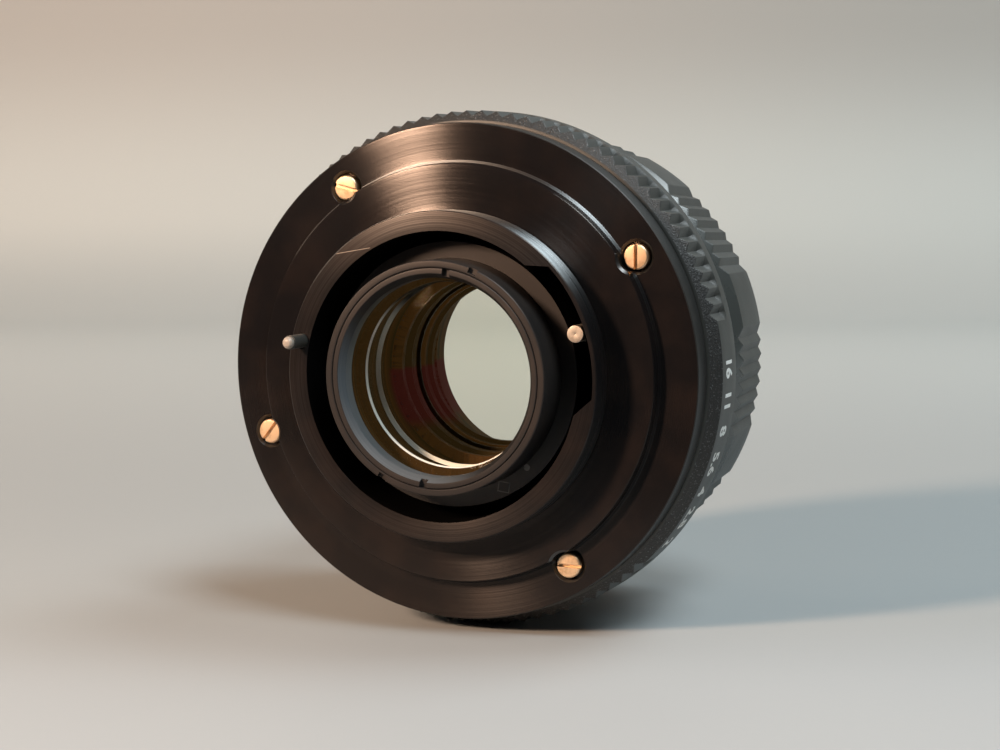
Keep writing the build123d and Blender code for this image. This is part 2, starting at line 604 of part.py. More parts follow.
# ---- coupling ring: carries the pin that tells the body the set stop ----
COUPLING_SLOT_WIDTH = 2.3
COUPLING_SLOT_ROOM_ANGLE = 1.0
COUPLING_PIN_REAR = -4.8
COUPLING_SHANK_R = 0.6
COUPLING_PIN_EDGE = 0.25
stop_pin_path = mid_arc(STOP_PIN_R, STOP_PIN_ANGLE, APERTURE_TURN + COUPLING_SLOT_ROOM_ANGLE)
with BuildPart() as coupling_ring:
    with BuildSketch():
        Polygon(*ring_section(COUPLING_IN_R, COUPLING_OUT_R, APERTURE_REAR, COUPLING_FRONT))
    revolve(axis=Axis.Y)
    with BuildSketch(rear_plane(APERTURE_REAR, LUG_ANGLE)):
        with Locations(((COUPLING_OUT_R - COUPLING_LEDGE + LUG_TIP_R) / 2, 0)):
            Rectangle(LUG_TIP_R - COUPLING_OUT_R + COUPLING_LEDGE, LUG_WIDTH)
    extrude(amount=-COUPLING_THICKNESS)
    with BuildSketch(rear_plane(APERTURE_REAR)):
        SlotArc(stop_pin_path, COUPLING_SLOT_WIDTH)
        with Locations(polar(COUPLING_PIN_R, COUPLING_PIN_ANGLE)):
            Circle(COUPLING_SHANK_R + SHANK_GAP)
    extrude(amount=-COUPLING_THICKNESS, mode=Mode.SUBTRACT)
finish(coupling_ring, "coupling_ring")

with BuildPart() as coupling_pin:
    with BuildSketch(rear_plane(APERTURE_REAR)):
        with Locations(polar(COUPLING_PIN_R, COUPLING_PIN_ANGLE)):
            Circle(COUPLING_PIN_BODY_R)
    extrude(amount=APERTURE_REAR - COUPLING_PIN_REAR)
    fillet(coupling_pin.faces().sort_by(Axis.Y)[0].edges(), COUPLING_PIN_EDGE)
    with BuildSketch(rear_plane(APERTURE_REAR)):
        with Locations(polar(COUPLING_PIN_R, COUPLING_PIN_ANGLE)):
            Circle(COUPLING_SHANK_R)
    extrude(amount=-COUPLING_THICKNESS)
finish(coupling_pin, "coupling_pin")

# ---- actuator ring that closes the iris, with the finger the focusing block slides along ----
FINGER_SPARE = 0.35
FINGER_END = DRIVE_FRONT + FOCUS_TRAVEL + FINGER_SPARE
with BuildPart() as actuator_ring:
    with BuildSketch():
        Polygon(*ring_section(ACTUATOR_IN_R, INNER_BORE_R - SLIDING, ACTUATOR_REAR, ACTUATOR_FRONT))
    revolve(axis=Axis.Y)
    with BuildSketch(rear_plane(ACTUATOR_FRONT, FINGER_ANGLE)):
        with Locations((FINGER_MID_R, 0)):
            Rectangle(FINGER_DEPTH, FINGER_WIDTH)
    extrude(amount=-(FINGER_END - ACTUATOR_FRONT))
finish(actuator_ring, "actuator_ring")

# ---- stop-down pin, pressed by the camera, and its return spring ----
STOP_PIN_TIP = -10.0
STOP_PIN_TIP_R = 0.7
STOP_PIN_TIP_LENGTH = 0.8
STOP_PIN_TIP_EDGE = 0.4
STOP_PIN_BURIED = 3.0
STOP_PIN_NECK = STOP_PIN_TIP + STOP_PIN_TIP_LENGTH
STOP_PIN_ROD_END = FLANGE_REAR - STOP_PIN_TRAVEL - END_GAP
with BuildPart() as stop_pin:
    stop_centre = polar(STOP_PIN_R, STOP_PIN_ANGLE)
    with BuildSketch(rear_plane(STOP_PIN_BURIED)):
        with Locations(stop_centre):
            Circle(STOP_PIN_BODY_R)
    extrude(amount=STOP_PIN_BURIED - STOP_PIN_NECK)
    with BuildSketch(rear_plane(STOP_PIN_NECK)):
        with Locations(stop_centre):
            Circle(STOP_PIN_TIP_R)
    extrude(amount=STOP_PIN_TIP_LENGTH)
    fillet(stop_pin.faces().sort_by(Axis.Y)[0].edges(), STOP_PIN_TIP_EDGE)
    with BuildSketch(rear_plane(STOP_PIN_BURIED)):
        with Locations(stop_centre):
            Circle(PIN_ROD_R)
    extrude(amount=-(STOP_PIN_ROD_END - STOP_PIN_BURIED))
finish(stop_pin, "stop_pin")

SPRING_WIRE_R = 0.1
SPRING_R = STOP_PIN_BODY_R - SPRING_WIRE_R
SPRING_COIL_COUNT = 5
with BuildPart() as stop_pin_spring:
    spring_x, spring_z = stop_centre
    coil_start = STOP_PIN_BURIED + SPRING_WIRE_R
    coil_rise = WEB_REAR - STOP_PIN_BURIED - 2 * SPRING_WIRE_R
    with BuildLine() as spring_coil:
        Helix(
            coil_rise / SPRING_COIL_COUNT,
            coil_rise,
            SPRING_R,
            center=(spring_x, coil_start, spring_z),
            direction=(0, 1, 0),
        )
    with BuildSketch(Plane(spring_coil.line @ 0, z_dir=spring_coil.line % 0)):
        RegularPolygon(SPRING_WIRE_R, 6)
    sweep(is_frenet=True)
finish(stop_pin_spring, "stop_pin_spring")

# ---- focusing group: grip, helicoid sleeve and the grub screws between them ----
FOCUS_DEPTH = 0.55
FOCUS_GROOVE_HALF_ANGLE = 2.475
FOCUS_GROUP_COUNT = 9
FOCUS_GROOVE_COUNT = 7
FOCUS_GRIP_START_ANGLE = 25.1
FOCUS_LIP = 0.5
FOCUS_REAR_BEVEL = 1.5
FOCUS_BEVEL_LENGTH = 4.2
FOCUS_TAPER = 0.57
FOCUS_GRUB_SET_BACK = 8.0
FOCUS_GRUB_SINK = 0.5
FOCUS_GRUB_LENGTH = 1.8
FOCUS_GRUB_Y = FOCUS_REAR + FOCUS_GRUB_SET_BACK
FOCUS_GRUB_R = SLEEVE_R - FOCUS_GRUB_SINK
FOCUS_SLOPE = atan(FOCUS_TAPER / (FOCUS_WIDTH - FOCUS_BEVEL_LENGTH))
focus_groove_angles = [
    FOCUS_GRIP_START_ANGLE + 360 / FOCUS_GROUP_COUNT * group + GROOVE_PITCH * groove
    for group in range(FOCUS_GROUP_COUNT)
    for groove in range(FOCUS_GROOVE_COUNT)
]
groove_half_width = FOCUS_TIP_R * radians(FOCUS_GROOVE_HALF_ANGLE)
with BuildPart() as focus_groove:
    with BuildSketch(tapered_plane(FOCUS_TIP_R, 0, FOCUS_REAR + FOCUS_BEVEL_LENGTH, FOCUS_SLOPE)):
        Polygon(
            (-FOCUS_DEPTH, 0),
            (FOCUS_DEPTH, 2 * groove_half_width),
            (FOCUS_DEPTH, -2 * groove_half_width),
            align=None,
        )
    extrude(amount=FOCUS_WIDTH, both=True)
with BuildPart() as focus_grip:
    with BuildSketch():
        Polygon(
            (SLEEVE_R - FOCUS_LIP, FOCUS_REAR),
            (FOCUS_TIP_R - FOCUS_REAR_BEVEL, FOCUS_REAR),
            (FOCUS_TIP_R, FOCUS_REAR + FOCUS_BEVEL_LENGTH),
            (FOCUS_TIP_R - FOCUS_TAPER, FOCUS_FRONT),
            (SLEEVE_R + SHANK_GAP, FOCUS_FRONT),
            (SLEEVE_R + SHANK_GAP, SLEEVE_REAR),
            (SLEEVE_R - FOCUS_LIP, SLEEVE_REAR),
        )
    revolve(axis=Axis.Y)
    add([Rot(0, -angle, 0) * focus_groove.part for angle in focus_groove_angles], mode=Mode.SUBTRACT)
    for angle in GRUB_ANGLES:
        with BuildSketch(radial_plane(FOCUS_GRUB_R, angle, FOCUS_GRUB_Y)):
            Circle(GRUB_R + SHANK_GAP)
        extrude(amount=2 * FOCUS_GRUB_LENGTH, mode=Mode.SUBTRACT)
finish(focus_grip, "focus_grip")

with BuildPart() as helicoid_sleeve:
    with BuildSketch():
        Polygon(
            (FRONT_TUBE_R + SLIDING, SLEEVE_REAR),
            (SLEEVE_R, SLEEVE_REAR),
            (SLEEVE_R, SLEEVE_FRONT),
            (SLEEVE_BORE_R, SLEEVE_FRONT),
            (SLEEVE_BORE_R, RETAINER_SEAT - FACE_GAP),
            (FRONT_TUBE_R + SLIDING, RETAINER_SEAT - FACE_GAP),
        )
    revolve(axis=Axis.Y)
    for angle in GRUB_ANGLES:
        with BuildSketch(radial_plane(FOCUS_GRUB_R, angle, FOCUS_GRUB_Y)):
            Circle(GRUB_R + SHANK_GAP)
        extrude(amount=2 * FOCUS_GRUB_LENGTH, mode=Mode.SUBTRACT)
finish(helicoid_sleeve, "helicoid_sleeve")

with BuildPart() as focus_ring_screws:
    for angle in GRUB_ANGLES:
        with BuildSketch(radial_plane(FOCUS_GRUB_R, angle, FOCUS_GRUB_Y)):
            Circle(GRUB_R)
        extrude(amount=FOCUS_GRUB_LENGTH)
finish(focus_ring_screws, "focus_ring_screws")

# ---- lens barrel: the sliding block that carries the optics and the iris ----
NECK_STAND_OUT = 2.0
HELICOID_GAP = 0.3
FRONT_BORE_DEPTH = 1.7
CELL_SEAT_GAP = 0.3
THROAT_R = 12.6
CONE_SEAT = 1.0
CONE_SEAT_STEP = 1.2
SPIGOT_STEP = 0.6
SPIGOT_DEPTH = 0.8
NECK_REAR = -NECK_STAND_OUT
HELICOID_REAR = FRONT_TUBE_END + HELICOID_GAP
FRONT_BORE_FLOOR = HELICOID_REAR + FRONT_BORE_DEPTH
CELL_SEAT = FINGER_END + CELL_SEAT_GAP
CONE_SEAT_R = FRONT_BORE_R + CONE_SEAT_STEP
SPIGOT_R = CONE_SEAT_R + SPIGOT_STEP
CONE_SEAT_FRONT = BLOCK_FRONT - SPIGOT_DEPTH
CONE_SEAT_REAR = CONE_SEAT_FRONT - CONE_SEAT

# ---- heights of the rear glasses, from the mount forward ----
RING_SEAT_DEPTH = 1.8
RING_NOSE = 1.0
REAR_ELEMENT_EDGE = 2.7
REAR_SPACE = 1.3
FIFTH_EDGE = 3.3
FOURTH_EDGE = 6.2
CELL_LIP = 0.9
RING_SEAT = CELL_REAR + RING_SEAT_DEPTH
REAR_ELEMENT_REAR = RING_SEAT + RING_NOSE
REAR_ELEMENT_FRONT = REAR_ELEMENT_REAR + REAR_ELEMENT_EDGE
FIFTH_REAR = REAR_ELEMENT_FRONT + REAR_SPACE
FIFTH_FRONT = FIFTH_REAR + FIFTH_EDGE
FOURTH_FRONT = FIFTH_FRONT + FOURTH_EDGE
CELL_FRONT = FOURTH_FRONT + CELL_LIP
with BuildPart() as lens_barrel:
    with BuildSketch():
        Polygon(
            (CELL_R + GLASS_FIT, NECK_REAR),
            (NECK_R, NECK_REAR),
            (NECK_R, FLANGE_REAR),
            (BLOCK_R, FLANGE_REAR),
            (BLOCK_R, HELICOID_REAR),
            (HELICOID_R, HELICOID_REAR),
            (HELICOID_R, BLOCK_FRONT),
            (SPIGOT_R, BLOCK_FRONT),
            (SPIGOT_R, CONE_SEAT_FRONT),
            (CONE_SEAT_R, CONE_SEAT_FRONT),
            (CONE_SEAT_R, CONE_SEAT_REAR),
            (FRONT_BORE_R, CONE_SEAT_REAR),
            (FRONT_BORE_R, FRONT_BORE_FLOOR),
            (CELL_BORE_R, FRONT_BORE_FLOOR),
            (CELL_BORE_R, CELL_SEAT),
            (BASE_BORE_R, CELL_SEAT),
            (BASE_BORE_R, BASE_SEAT),
            (BAY_R, BASE_SEAT),
            (BAY_R, FLANGE_FRONT),
            (THROAT_R, FLANGE_FRONT),
            (THROAT_R, CELL_FRONT),
            (CELL_R + GLASS_FIT, CELL_FRONT),
        )
    revolve(axis=Axis.Y)
    with BuildSketch(rear_plane(FLANGE_REAR)):
        SlotArc(finger_path, FINGER_SLOT_WIDTH)
    extrude(amount=-FLANGE_THICKNESS, mode=Mode.SUBTRACT)
    for angle in KEY_ANGLES:
        with BuildSketch(radial_plane(KEY_FLOOR_R, angle, (FLANGE_REAR + KEY_FRONT) / 2)):
            Rectangle(KEY_FRONT - FLANGE_REAR + 4 * END_GAP, KEY_WIDTH + 2 * SLIDING)
        extrude(amount=2 * (BLOCK_R - KEY_FLOOR_R), mode=Mode.SUBTRACT)
finish(lens_barrel, "lens_barrel")

# ---- rear cell with the last three elements ----
CELL_EDGE = 0.1
CLEAR_INSET = 1.3
SEAT_LIP = 1.3
CELL_SLOT_WIDTH = 1.3
CELL_SLOT_LENGTH = 1.2
CELL_SLOT_DEPTH = 0.5
CLEAR_R = REAR_GLASS_R - CLEAR_INSET
with BuildPart() as rear_cell:
    with BuildSketch():
        Polygon(
            (RING_R + GLASS_FIT, CELL_REAR),
            (CELL_R - CELL_EDGE, CELL_REAR),
            (CELL_R, CELL_REAR + CELL_EDGE),
            (CELL_R, CELL_FRONT),
            (REAR_GLASS_R - SEAT_LIP, CELL_FRONT),
            (REAR_GLASS_R - SEAT_LIP, FOURTH_FRONT),
            (REAR_GLASS_R + GLASS_FIT, FOURTH_FRONT),
            (REAR_GLASS_R + GLASS_FIT, RING_SEAT),
            (RING_R + GLASS_FIT, RING_SEAT),
        )
    revolve(axis=Axis.Y)
    with BuildSketch(rear_plane(CELL_REAR)):
        for angle in CELL_SLOT_ANGLES:
            with Locations(Location((*polar(CELL_R, angle), 0), angle)):
                Rectangle(CELL_SLOT_LENGTH, CELL_SLOT_WIDTH)
    extrude(amount=-CELL_SLOT_DEPTH, mode=Mode.SUBTRACT)
finish(rear_cell, "rear_cell")

RING_FACE_WIDTH = 0.65
OPENING_INSET = 0.7
RING_BEVEL_LENGTH = 1.1
RING_SLOT_INSET = 0.8
RING_SLOT_LENGTH = 1.0
RING_SLOT_DEPTH = 0.6
REAR_OPENING_R = REAR_GLASS_R - OPENING_INSET
with BuildPart() as rear_retaining_ring:
    with BuildSketch():
        Polygon(
            (RING_R - RING_FACE_WIDTH, CELL_REAR),
            (RING_R, CELL_REAR),
            (RING_R, RING_SEAT),
            (REAR_GLASS_R, RING_SEAT),
            (REAR_GLASS_R, REAR_ELEMENT_REAR),
            (REAR_OPENING_R, REAR_ELEMENT_REAR),
            (REAR_OPENING_R, CELL_REAR + RING_BEVEL_LENGTH),
        )
    revolve(axis=Axis.Y)
    with BuildSketch(rear_plane(CELL_REAR)):
        for angle in RING_SLOT_ANGLES:
            with Locations(Location((*polar(RING_R - RING_SLOT_INSET, angle), 0), angle)):
                Rectangle(RING_SLOT_LENGTH, CELL_SLOT_WIDTH)
    extrude(amount=-RING_SLOT_DEPTH, mode=Mode.SUBTRACT)
finish(rear_retaining_ring, "rear_retaining_ring")

REAR_ELEMENT_SAG = -2.0
REAR_ELEMENT_INNER_SAG = 0.4
FIFTH_SAG = -0.5
CEMENT_SAG = 2.6
FOURTH_SAG = -2.4
SPACER_LAND = 1.2
CEMENT_R = REAR_GLASS_R - GLASS_FIT
glass(
    "rear_element",
    REAR_GLASS_R,
    (REAR_ELEMENT_REAR, REAR_ELEMENT_SAG, REAR_OPENING_R),
    (REAR_ELEMENT_FRONT, REAR_ELEMENT_INNER_SAG, CLEAR_R),
)
glass(
    "fifth_element",
    REAR_GLASS_R,
    (FIFTH_REAR, FIFTH_SAG, CLEAR_R),
    (FIFTH_FRONT, CEMENT_SAG, CEMENT_R),
)
glass(
    "fourth_element",
    REAR_GLASS_R,
    (FIFTH_FRONT, CEMENT_SAG, CEMENT_R),
    (FOURTH_FRONT, FOURTH_SAG, CLEAR_R),
)
with BuildPart() as rear_spacer:
    with BuildSketch():
        Polygon(*ring_section(REAR_GLASS_R - SPACER_LAND, REAR_GLASS_R, REAR_ELEMENT_FRONT, FIFTH_REAR))
    revolve(axis=Axis.Y)
finish(rear_spacer, "rear_spacer")

# ---- iris: base with rim, blades, cam-slotted drive ring and retainer ----
TAB_HALF_ANGLE = 6.0
WINDOW_ROOM_ANGLE = 1.5
WINDOW_WIDTH = 1.2
STUD_R = 0.4
STUD_HOLE_R = STUD_R + SLIDING / 2
DRIVE_STUD_INSET = 0.1
DRIVE_STUD_ANGLE = -15.0
BLADE_END_ROOM = 0.9
BLADE_FOOT_R = 0.9
BLADE_HEEL_R = 0.6
BLADE_NECK = 2.5
BLADE_SHOULDER = 2.0
BLADE_STUD_LENGTH = 0.7
IRIS_FACE_OVERLAP = 0.2
IRIS_RING_OVERLAP = 0.3
FORK_REACH = 0.3
FORK_LAND = 0.1
BLADE_ANGLES = (-3.0, 100.0)
DRIVE_STUD_R = IRIS_PIVOT_R - DRIVE_STUD_INSET
BLADE_OUT_R = IRIS_PIVOT_R - BLADE_END_ROOM
BASE_OPENING_R = IRIS_OPEN_R - IRIS_FACE_OVERLAP
DRIVE_OPENING_R = IRIS_OPEN_R + IRIS_RING_OVERLAP
FORK_IN_R = RIM_IN_R - FORK_REACH
FORK_OUT_R = FINGER_OUT_R + FORK_LAND
window_path = mid_arc(
    (RIM_IN_R + RIM_OUT_R) / 2, FINGER_SWEEP_MID, IRIS_RING_TURN / 2 + TAB_HALF_ANGLE + WINDOW_ROOM_ANGLE
)
with BuildPart() as iris_housing:
    with BuildSketch():
        Polygon(
            (BASE_OPENING_R, BASE_SEAT),
            (RIM_IN_R, BASE_SEAT),
            (RIM_IN_R, RETAINER_FRONT),
            (RIM_OUT_R, RETAINER_FRONT),
            (RIM_OUT_R, BASE_SEAT),
            (BASE_BORE_R - GLASS_FIT, BASE_SEAT),
            (BASE_BORE_R - GLASS_FIT, BASE_FRONT),
            (BASE_OPENING_R, BASE_FRONT),
        )
    revolve(axis=Axis.Y)
    with BuildSketch(rear_plane(BASE_SEAT)):
        with PolarLocations(IRIS_PIVOT_R, IRIS_BLADE_COUNT):
            Circle(STUD_HOLE_R)
        SlotArc(finger_path, FINGER_SLOT_WIDTH)
    extrude(amount=-IRIS_BASE_THICKNESS, mode=Mode.SUBTRACT)
    # window in the rim that the drive ring's fork sweeps
    with BuildSketch(rear_plane(RETAINER_FRONT)):
        SlotArc(window_path, WINDOW_WIDTH)
    extrude(amount=-(DRIVE_FRONT + END_GAP - RETAINER_FRONT), mode=Mode.SUBTRACT)
finish(iris_housing, "iris_housing")

with BuildPart() as iris_retainer:
    with BuildSketch():
        Polygon(*ring_section(DRIVE_OPENING_R, RIM_OUT_R, FLANGE_FRONT, RETAINER_FRONT))
    revolve(axis=Axis.Y)
finish(iris_retainer, "iris_retainer")


def drive_stud_path(turned):
    """Place of a blade's drive stud in the drive ring's own frame, turned from 0 to 1."""
    start_x, start_y = polar(DRIVE_STUD_R, DRIVE_STUD_ANGLE)
    swing = radians(BLADE_CLOSING_ANGLE * turned)
    arm_x = start_x - IRIS_PIVOT_R
    x = IRIS_PIVOT_R + arm_x * cos(swing) - start_y * sin(swing)
    y = arm_x * sin(swing) + start_y * cos(swing)
    back = radians(-IRIS_RING_TURN * turned)
    return (x * cos(back) - y * sin(back), x * sin(back) + y * cos(back))


cam_path = ThreePointArc(drive_stud_path(0), drive_stud_path(0.5), drive_stud_path(1))
with BuildPart() as iris_drive_ring:
    with BuildSketch():
        Polygon(*ring_section(DRIVE_OPENING_R, RIM_IN_R - SLIDING, DRIVE_REAR, DRIVE_FRONT))
    revolve(axis=Axis.Y)
    # fork that straddles the actuator finger
    with BuildSketch(rear_plane(DRIVE_REAR, FINGER_ANGLE)):
        with BuildLine():
            CenterArc((0, 0), FORK_IN_R, -TAB_HALF_ANGLE, 2 * TAB_HALF_ANGLE)
            CenterArc((0, 0), FORK_OUT_R, -TAB_HALF_ANGLE, 2 * TAB_HALF_ANGLE)
            for side in (-1, 1):
                Line(polar(FORK_IN_R, side * TAB_HALF_ANGLE), polar(FORK_OUT_R, side * TAB_HALF_ANGLE))
        make_face()
    extrude(amount=-DRIVE_THICKNESS)
    with BuildSketch(rear_plane(DRIVE_REAR, FINGER_ANGLE)):
        with Locations((FORK_OUT_R, 0)):
            Rectangle(2 * (FORK_OUT_R - RIM_OUT_R), FINGER_WIDTH + 2 * SLIDING)
    extrude(amount=-DRIVE_THICKNESS, mode=Mode.SUBTRACT)
    # one cam slot per blade
    for blade in range(IRIS_BLADE_COUNT):
        with BuildSketch(rear_plane(DRIVE_REAR, 360 / IRIS_BLADE_COUNT * blade)):
            SlotArc(cam_path, 2 * STUD_HOLE_R)
        extrude(amount=-DRIVE_THICKNESS, mode=Mode.SUBTRACT)
finish(iris_drive_ring, "iris_drive_ring")

for blade in range(IRIS_BLADE_COUNT):
    turn = 360 / IRIS_BLADE_COUNT * blade
    blade_rear = FIRST_BLADE + BLADE_PITCH * blade
    drive_stud = polar(DRIVE_STUD_R, DRIVE_STUD_ANGLE)
    heel, tail = BLADE_ANGLES
    with BuildPart() as iris_blade:
        with BuildSketch(rear_plane(blade_rear, turn)):
            with BuildLine():
                CenterArc((0, 0), IRIS_OPEN_R, heel, tail - heel)
                CenterArc((0, 0), BLADE_OUT_R, heel, tail - heel)
                Line(polar(IRIS_OPEN_R, heel), polar(BLADE_OUT_R, heel))
                Line(polar(IRIS_OPEN_R, tail), polar(BLADE_OUT_R, tail))
            make_face()
            with Locations((IRIS_PIVOT_R, 0)):
                Circle(BLADE_FOOT_R)
            Polygon(
                (IRIS_PIVOT_R - BLADE_NECK, -BLADE_NECK),
                drive_stud,
                (IRIS_PIVOT_R + BLADE_FOOT_R - GLASS_FIT, 0),
                (IRIS_PIVOT_R - BLADE_NECK, BLADE_SHOULDER),
            )
            with Locations(drive_stud):
                Circle(BLADE_HEEL_R)
        extrude(amount=-BLADE_THICKNESS)
        with BuildSketch(rear_plane(blade_rear + BLADE_THICKNESS, turn)):
            with Locations((IRIS_PIVOT_R, 0)):
                Circle(STUD_R)
        extrude(amount=-(BASE_SEAT + BLADE_STUD_LENGTH - blade_rear - BLADE_THICKNESS))
        with BuildSketch(rear_plane(blade_rear, turn)):
            with Locations(drive_stud):
                Circle(STUD_R)
        extrude(amount=blade_rear - DRIVE_REAR - SLIDING)
    finish(iris_blade, f"iris_blade_{blade + 1}")

# ---- front cell with the first three elements ----
INNER_GLASS_STEP = 1.7
FRONT_CELL_WALL = 1.6
FRONT_CELL_GAP = 0.5
FRONT_SEAT_LIP = 0.8
FRONT_SEAT_LAND = 1.0
FRONT_LIP_LAND = 2.9
FRONT_FLANGE = 1.6
THIRD_EDGE = 3.2
SECOND_EDGE = 2.4
FRONT_SPACE = 2.6
FRONT_ELEMENT_EDGE = 2.2
FRONT_RING_THICKNESS = 1.6
CONE_DEPTH = 3.6
INNER_GLASS_R = FRONT_GLASS_R - INNER_GLASS_STEP
FRONT_CELL_R = FRONT_GLASS_R + FRONT_CELL_WALL
FRONT_CELL_REAR = BASE_FRONT + FRONT_CELL_GAP
THIRD_REAR = FRONT_CELL_REAR + FRONT_SEAT_LIP
THIRD_FRONT = THIRD_REAR + THIRD_EDGE
SECOND_FRONT = THIRD_FRONT + SECOND_EDGE
FRONT_ELEMENT_REAR = SECOND_FRONT + FRONT_SPACE
FRONT_ELEMENT_FRONT = FRONT_ELEMENT_REAR + FRONT_ELEMENT_EDGE
FRONT_RING_END = FRONT_ELEMENT_FRONT + FRONT_RING_THICKNESS
FRONT_CELL_END = BLOCK_FRONT - CONE_DEPTH
with BuildPart() as front_cell:
    with BuildSketch():
        Polygon(
            (INNER_GLASS_R - FRONT_LIP_LAND, FRONT_CELL_REAR),
            (FRONT_CELL_R, FRONT_CELL_REAR),
            (FRONT_CELL_R, CELL_SEAT),
            (CELL_BORE_R - GLASS_FIT, CELL_SEAT),
            (CELL_BORE_R - GLASS_FIT, CELL_SEAT + FRONT_FLANGE),
            (FRONT_CELL_R, CELL_SEAT + FRONT_FLANGE),
            (FRONT_CELL_R, FRONT_CELL_END),
            (FRONT_GLASS_R + GLASS_FIT, FRONT_CELL_END),
            (FRONT_GLASS_R + GLASS_FIT, FRONT_ELEMENT_REAR),
            (INNER_GLASS_R + GLASS_FIT, FRONT_ELEMENT_REAR),
            (INNER_GLASS_R + GLASS_FIT, THIRD_REAR),
            (INNER_GLASS_R - FRONT_LIP_LAND, THIRD_REAR),
        )
    revolve(axis=Axis.Y)
finish(front_cell, "front_cell")

THIRD_SAG = -0.3
FRONT_CEMENT_SAG = 0.4
FRONT_CEMENT_INSET = 0.1
SECOND_SAG = 3.6
FRONT_INNER_SAG = 1.6
FRONT_SAG = 3.6
FRONT_CLEAR_INSET = 0.7
FRONT_SPACER_LAND = 0.8
FRONT_RING_LAND = 0.65
glass(
    "third_element",
    INNER_GLASS_R,
    (THIRD_REAR, THIRD_SAG, INNER_GLASS_R - FRONT_LIP_LAND),
    (THIRD_FRONT, FRONT_CEMENT_SAG, INNER_GLASS_R - FRONT_CEMENT_INSET),
)
glass(
    "second_element",
    INNER_GLASS_R,
    (THIRD_FRONT, FRONT_CEMENT_SAG, INNER_GLASS_R - FRONT_CEMENT_INSET),
    (SECOND_FRONT, SECOND_SAG, INNER_GLASS_R - FRONT_SEAT_LAND),
)
glass(
    "front_element",
    FRONT_GLASS_R,
    (FRONT_ELEMENT_REAR, FRONT_INNER_SAG, INNER_GLASS_R - FRONT_CEMENT_INSET),
    (FRONT_ELEMENT_FRONT, FRONT_SAG, FRONT_GLASS_R - FRONT_CLEAR_INSET),
)
with BuildPart() as front_spacer:
    with BuildSketch():
        Polygon(*ring_section(
            INNER_GLASS_R - FRONT_SPACER_LAND, INNER_GLASS_R, SECOND_FRONT, FRONT_ELEMENT_REAR
        ))
    revolve(axis=Axis.Y)
finish(front_spacer, "front_spacer")

FRONT_RING_IN_R = FRONT_GLASS_R - FRONT_RING_LAND
with BuildPart() as front_retaining_ring:
    with BuildSketch():
        Polygon(*ring_section(FRONT_RING_IN_R, FRONT_GLASS_R, FRONT_ELEMENT_FRONT, FRONT_RING_END))
    revolve(axis=Axis.Y)
    with BuildSketch(rear_plane(FRONT_RING_END)):
        with PolarLocations((FRONT_RING_IN_R + FRONT_GLASS_R) / 2, 2):
            Rectangle(2 * FRONT_RING_LAND, SPANNER_WIDTH)
    extrude(amount=RING_SLOT_DEPTH, mode=Mode.SUBTRACT)
finish(front_retaining_ring, "front_retaining_ring")

# ---- front bezel with the filter bore, and the plain conical ring inside it ----
BEZEL_EDGE = 0.3
FILTER_SEAT = 1.0
THREAD_RELIEF = 0.4
RELIEF_R = FILTER_R + THREAD_RELIEF
with BuildPart() as front_bezel:
    with BuildSketch():
        Polygon(
            (RELIEF_R, CONE_SEAT_FRONT),
            (SPIGOT_R - GLASS_FIT, CONE_SEAT_FRONT),
            (SPIGOT_R - GLASS_FIT, BLOCK_FRONT),
            (HELICOID_R, BLOCK_FRONT),
            (HELICOID_R, BEZEL_FRONT - BEZEL_EDGE),
            (HELICOID_R - BEZEL_EDGE, BEZEL_FRONT),
            (FILTER_R + BEZEL_EDGE, BEZEL_FRONT),
            (FILTER_R, BEZEL_FRONT - BEZEL_EDGE),
            (FILTER_R, BLOCK_FRONT + FILTER_SEAT),
            (RELIEF_R, BLOCK_FRONT + FILTER_SEAT),
        )
    revolve(axis=Axis.Y)
finish(front_bezel, "front_bezel")

CONE_LIP = 1.0
CONE_RIM_HEIGHT = 0.4
CONE_SKIN = 0.5
with BuildPart() as front_cone_ring:
    with BuildSketch():
        Polygon(
            (FRONT_CELL_R - CONE_LIP, FRONT_CELL_END),
            (FRONT_CELL_R, FRONT_CELL_END),
            (FRONT_BORE_R - FACE_GAP, CONE_SEAT_REAR),
            (CONE_SEAT_R - GLASS_FIT, CONE_SEAT_REAR),
            (CONE_SEAT_R - GLASS_FIT, CONE_SEAT_FRONT),
            (FRONT_BORE_R, CONE_SEAT_FRONT),
            (FRONT_CELL_R - CONE_LIP, FRONT_CELL_END + CONE_SKIN),
        )
    revolve(axis=Axis.Y)
finish(front_cone_ring, "front_cone_ring")
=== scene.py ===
"""A manual-focus lens lying on its side, seen from its mount.

Lengths are in millimetres until a mesh is written, then in metres. The optical axis is Y, the
mount faces -Y and +Z is up. Angles round the axis start at +X and grow towards +Z.
"""
import json
import logging
import math
from dataclasses import dataclass
from enum import Enum, IntEnum
from typing import NamedTuple, Optional, Sequence, Union

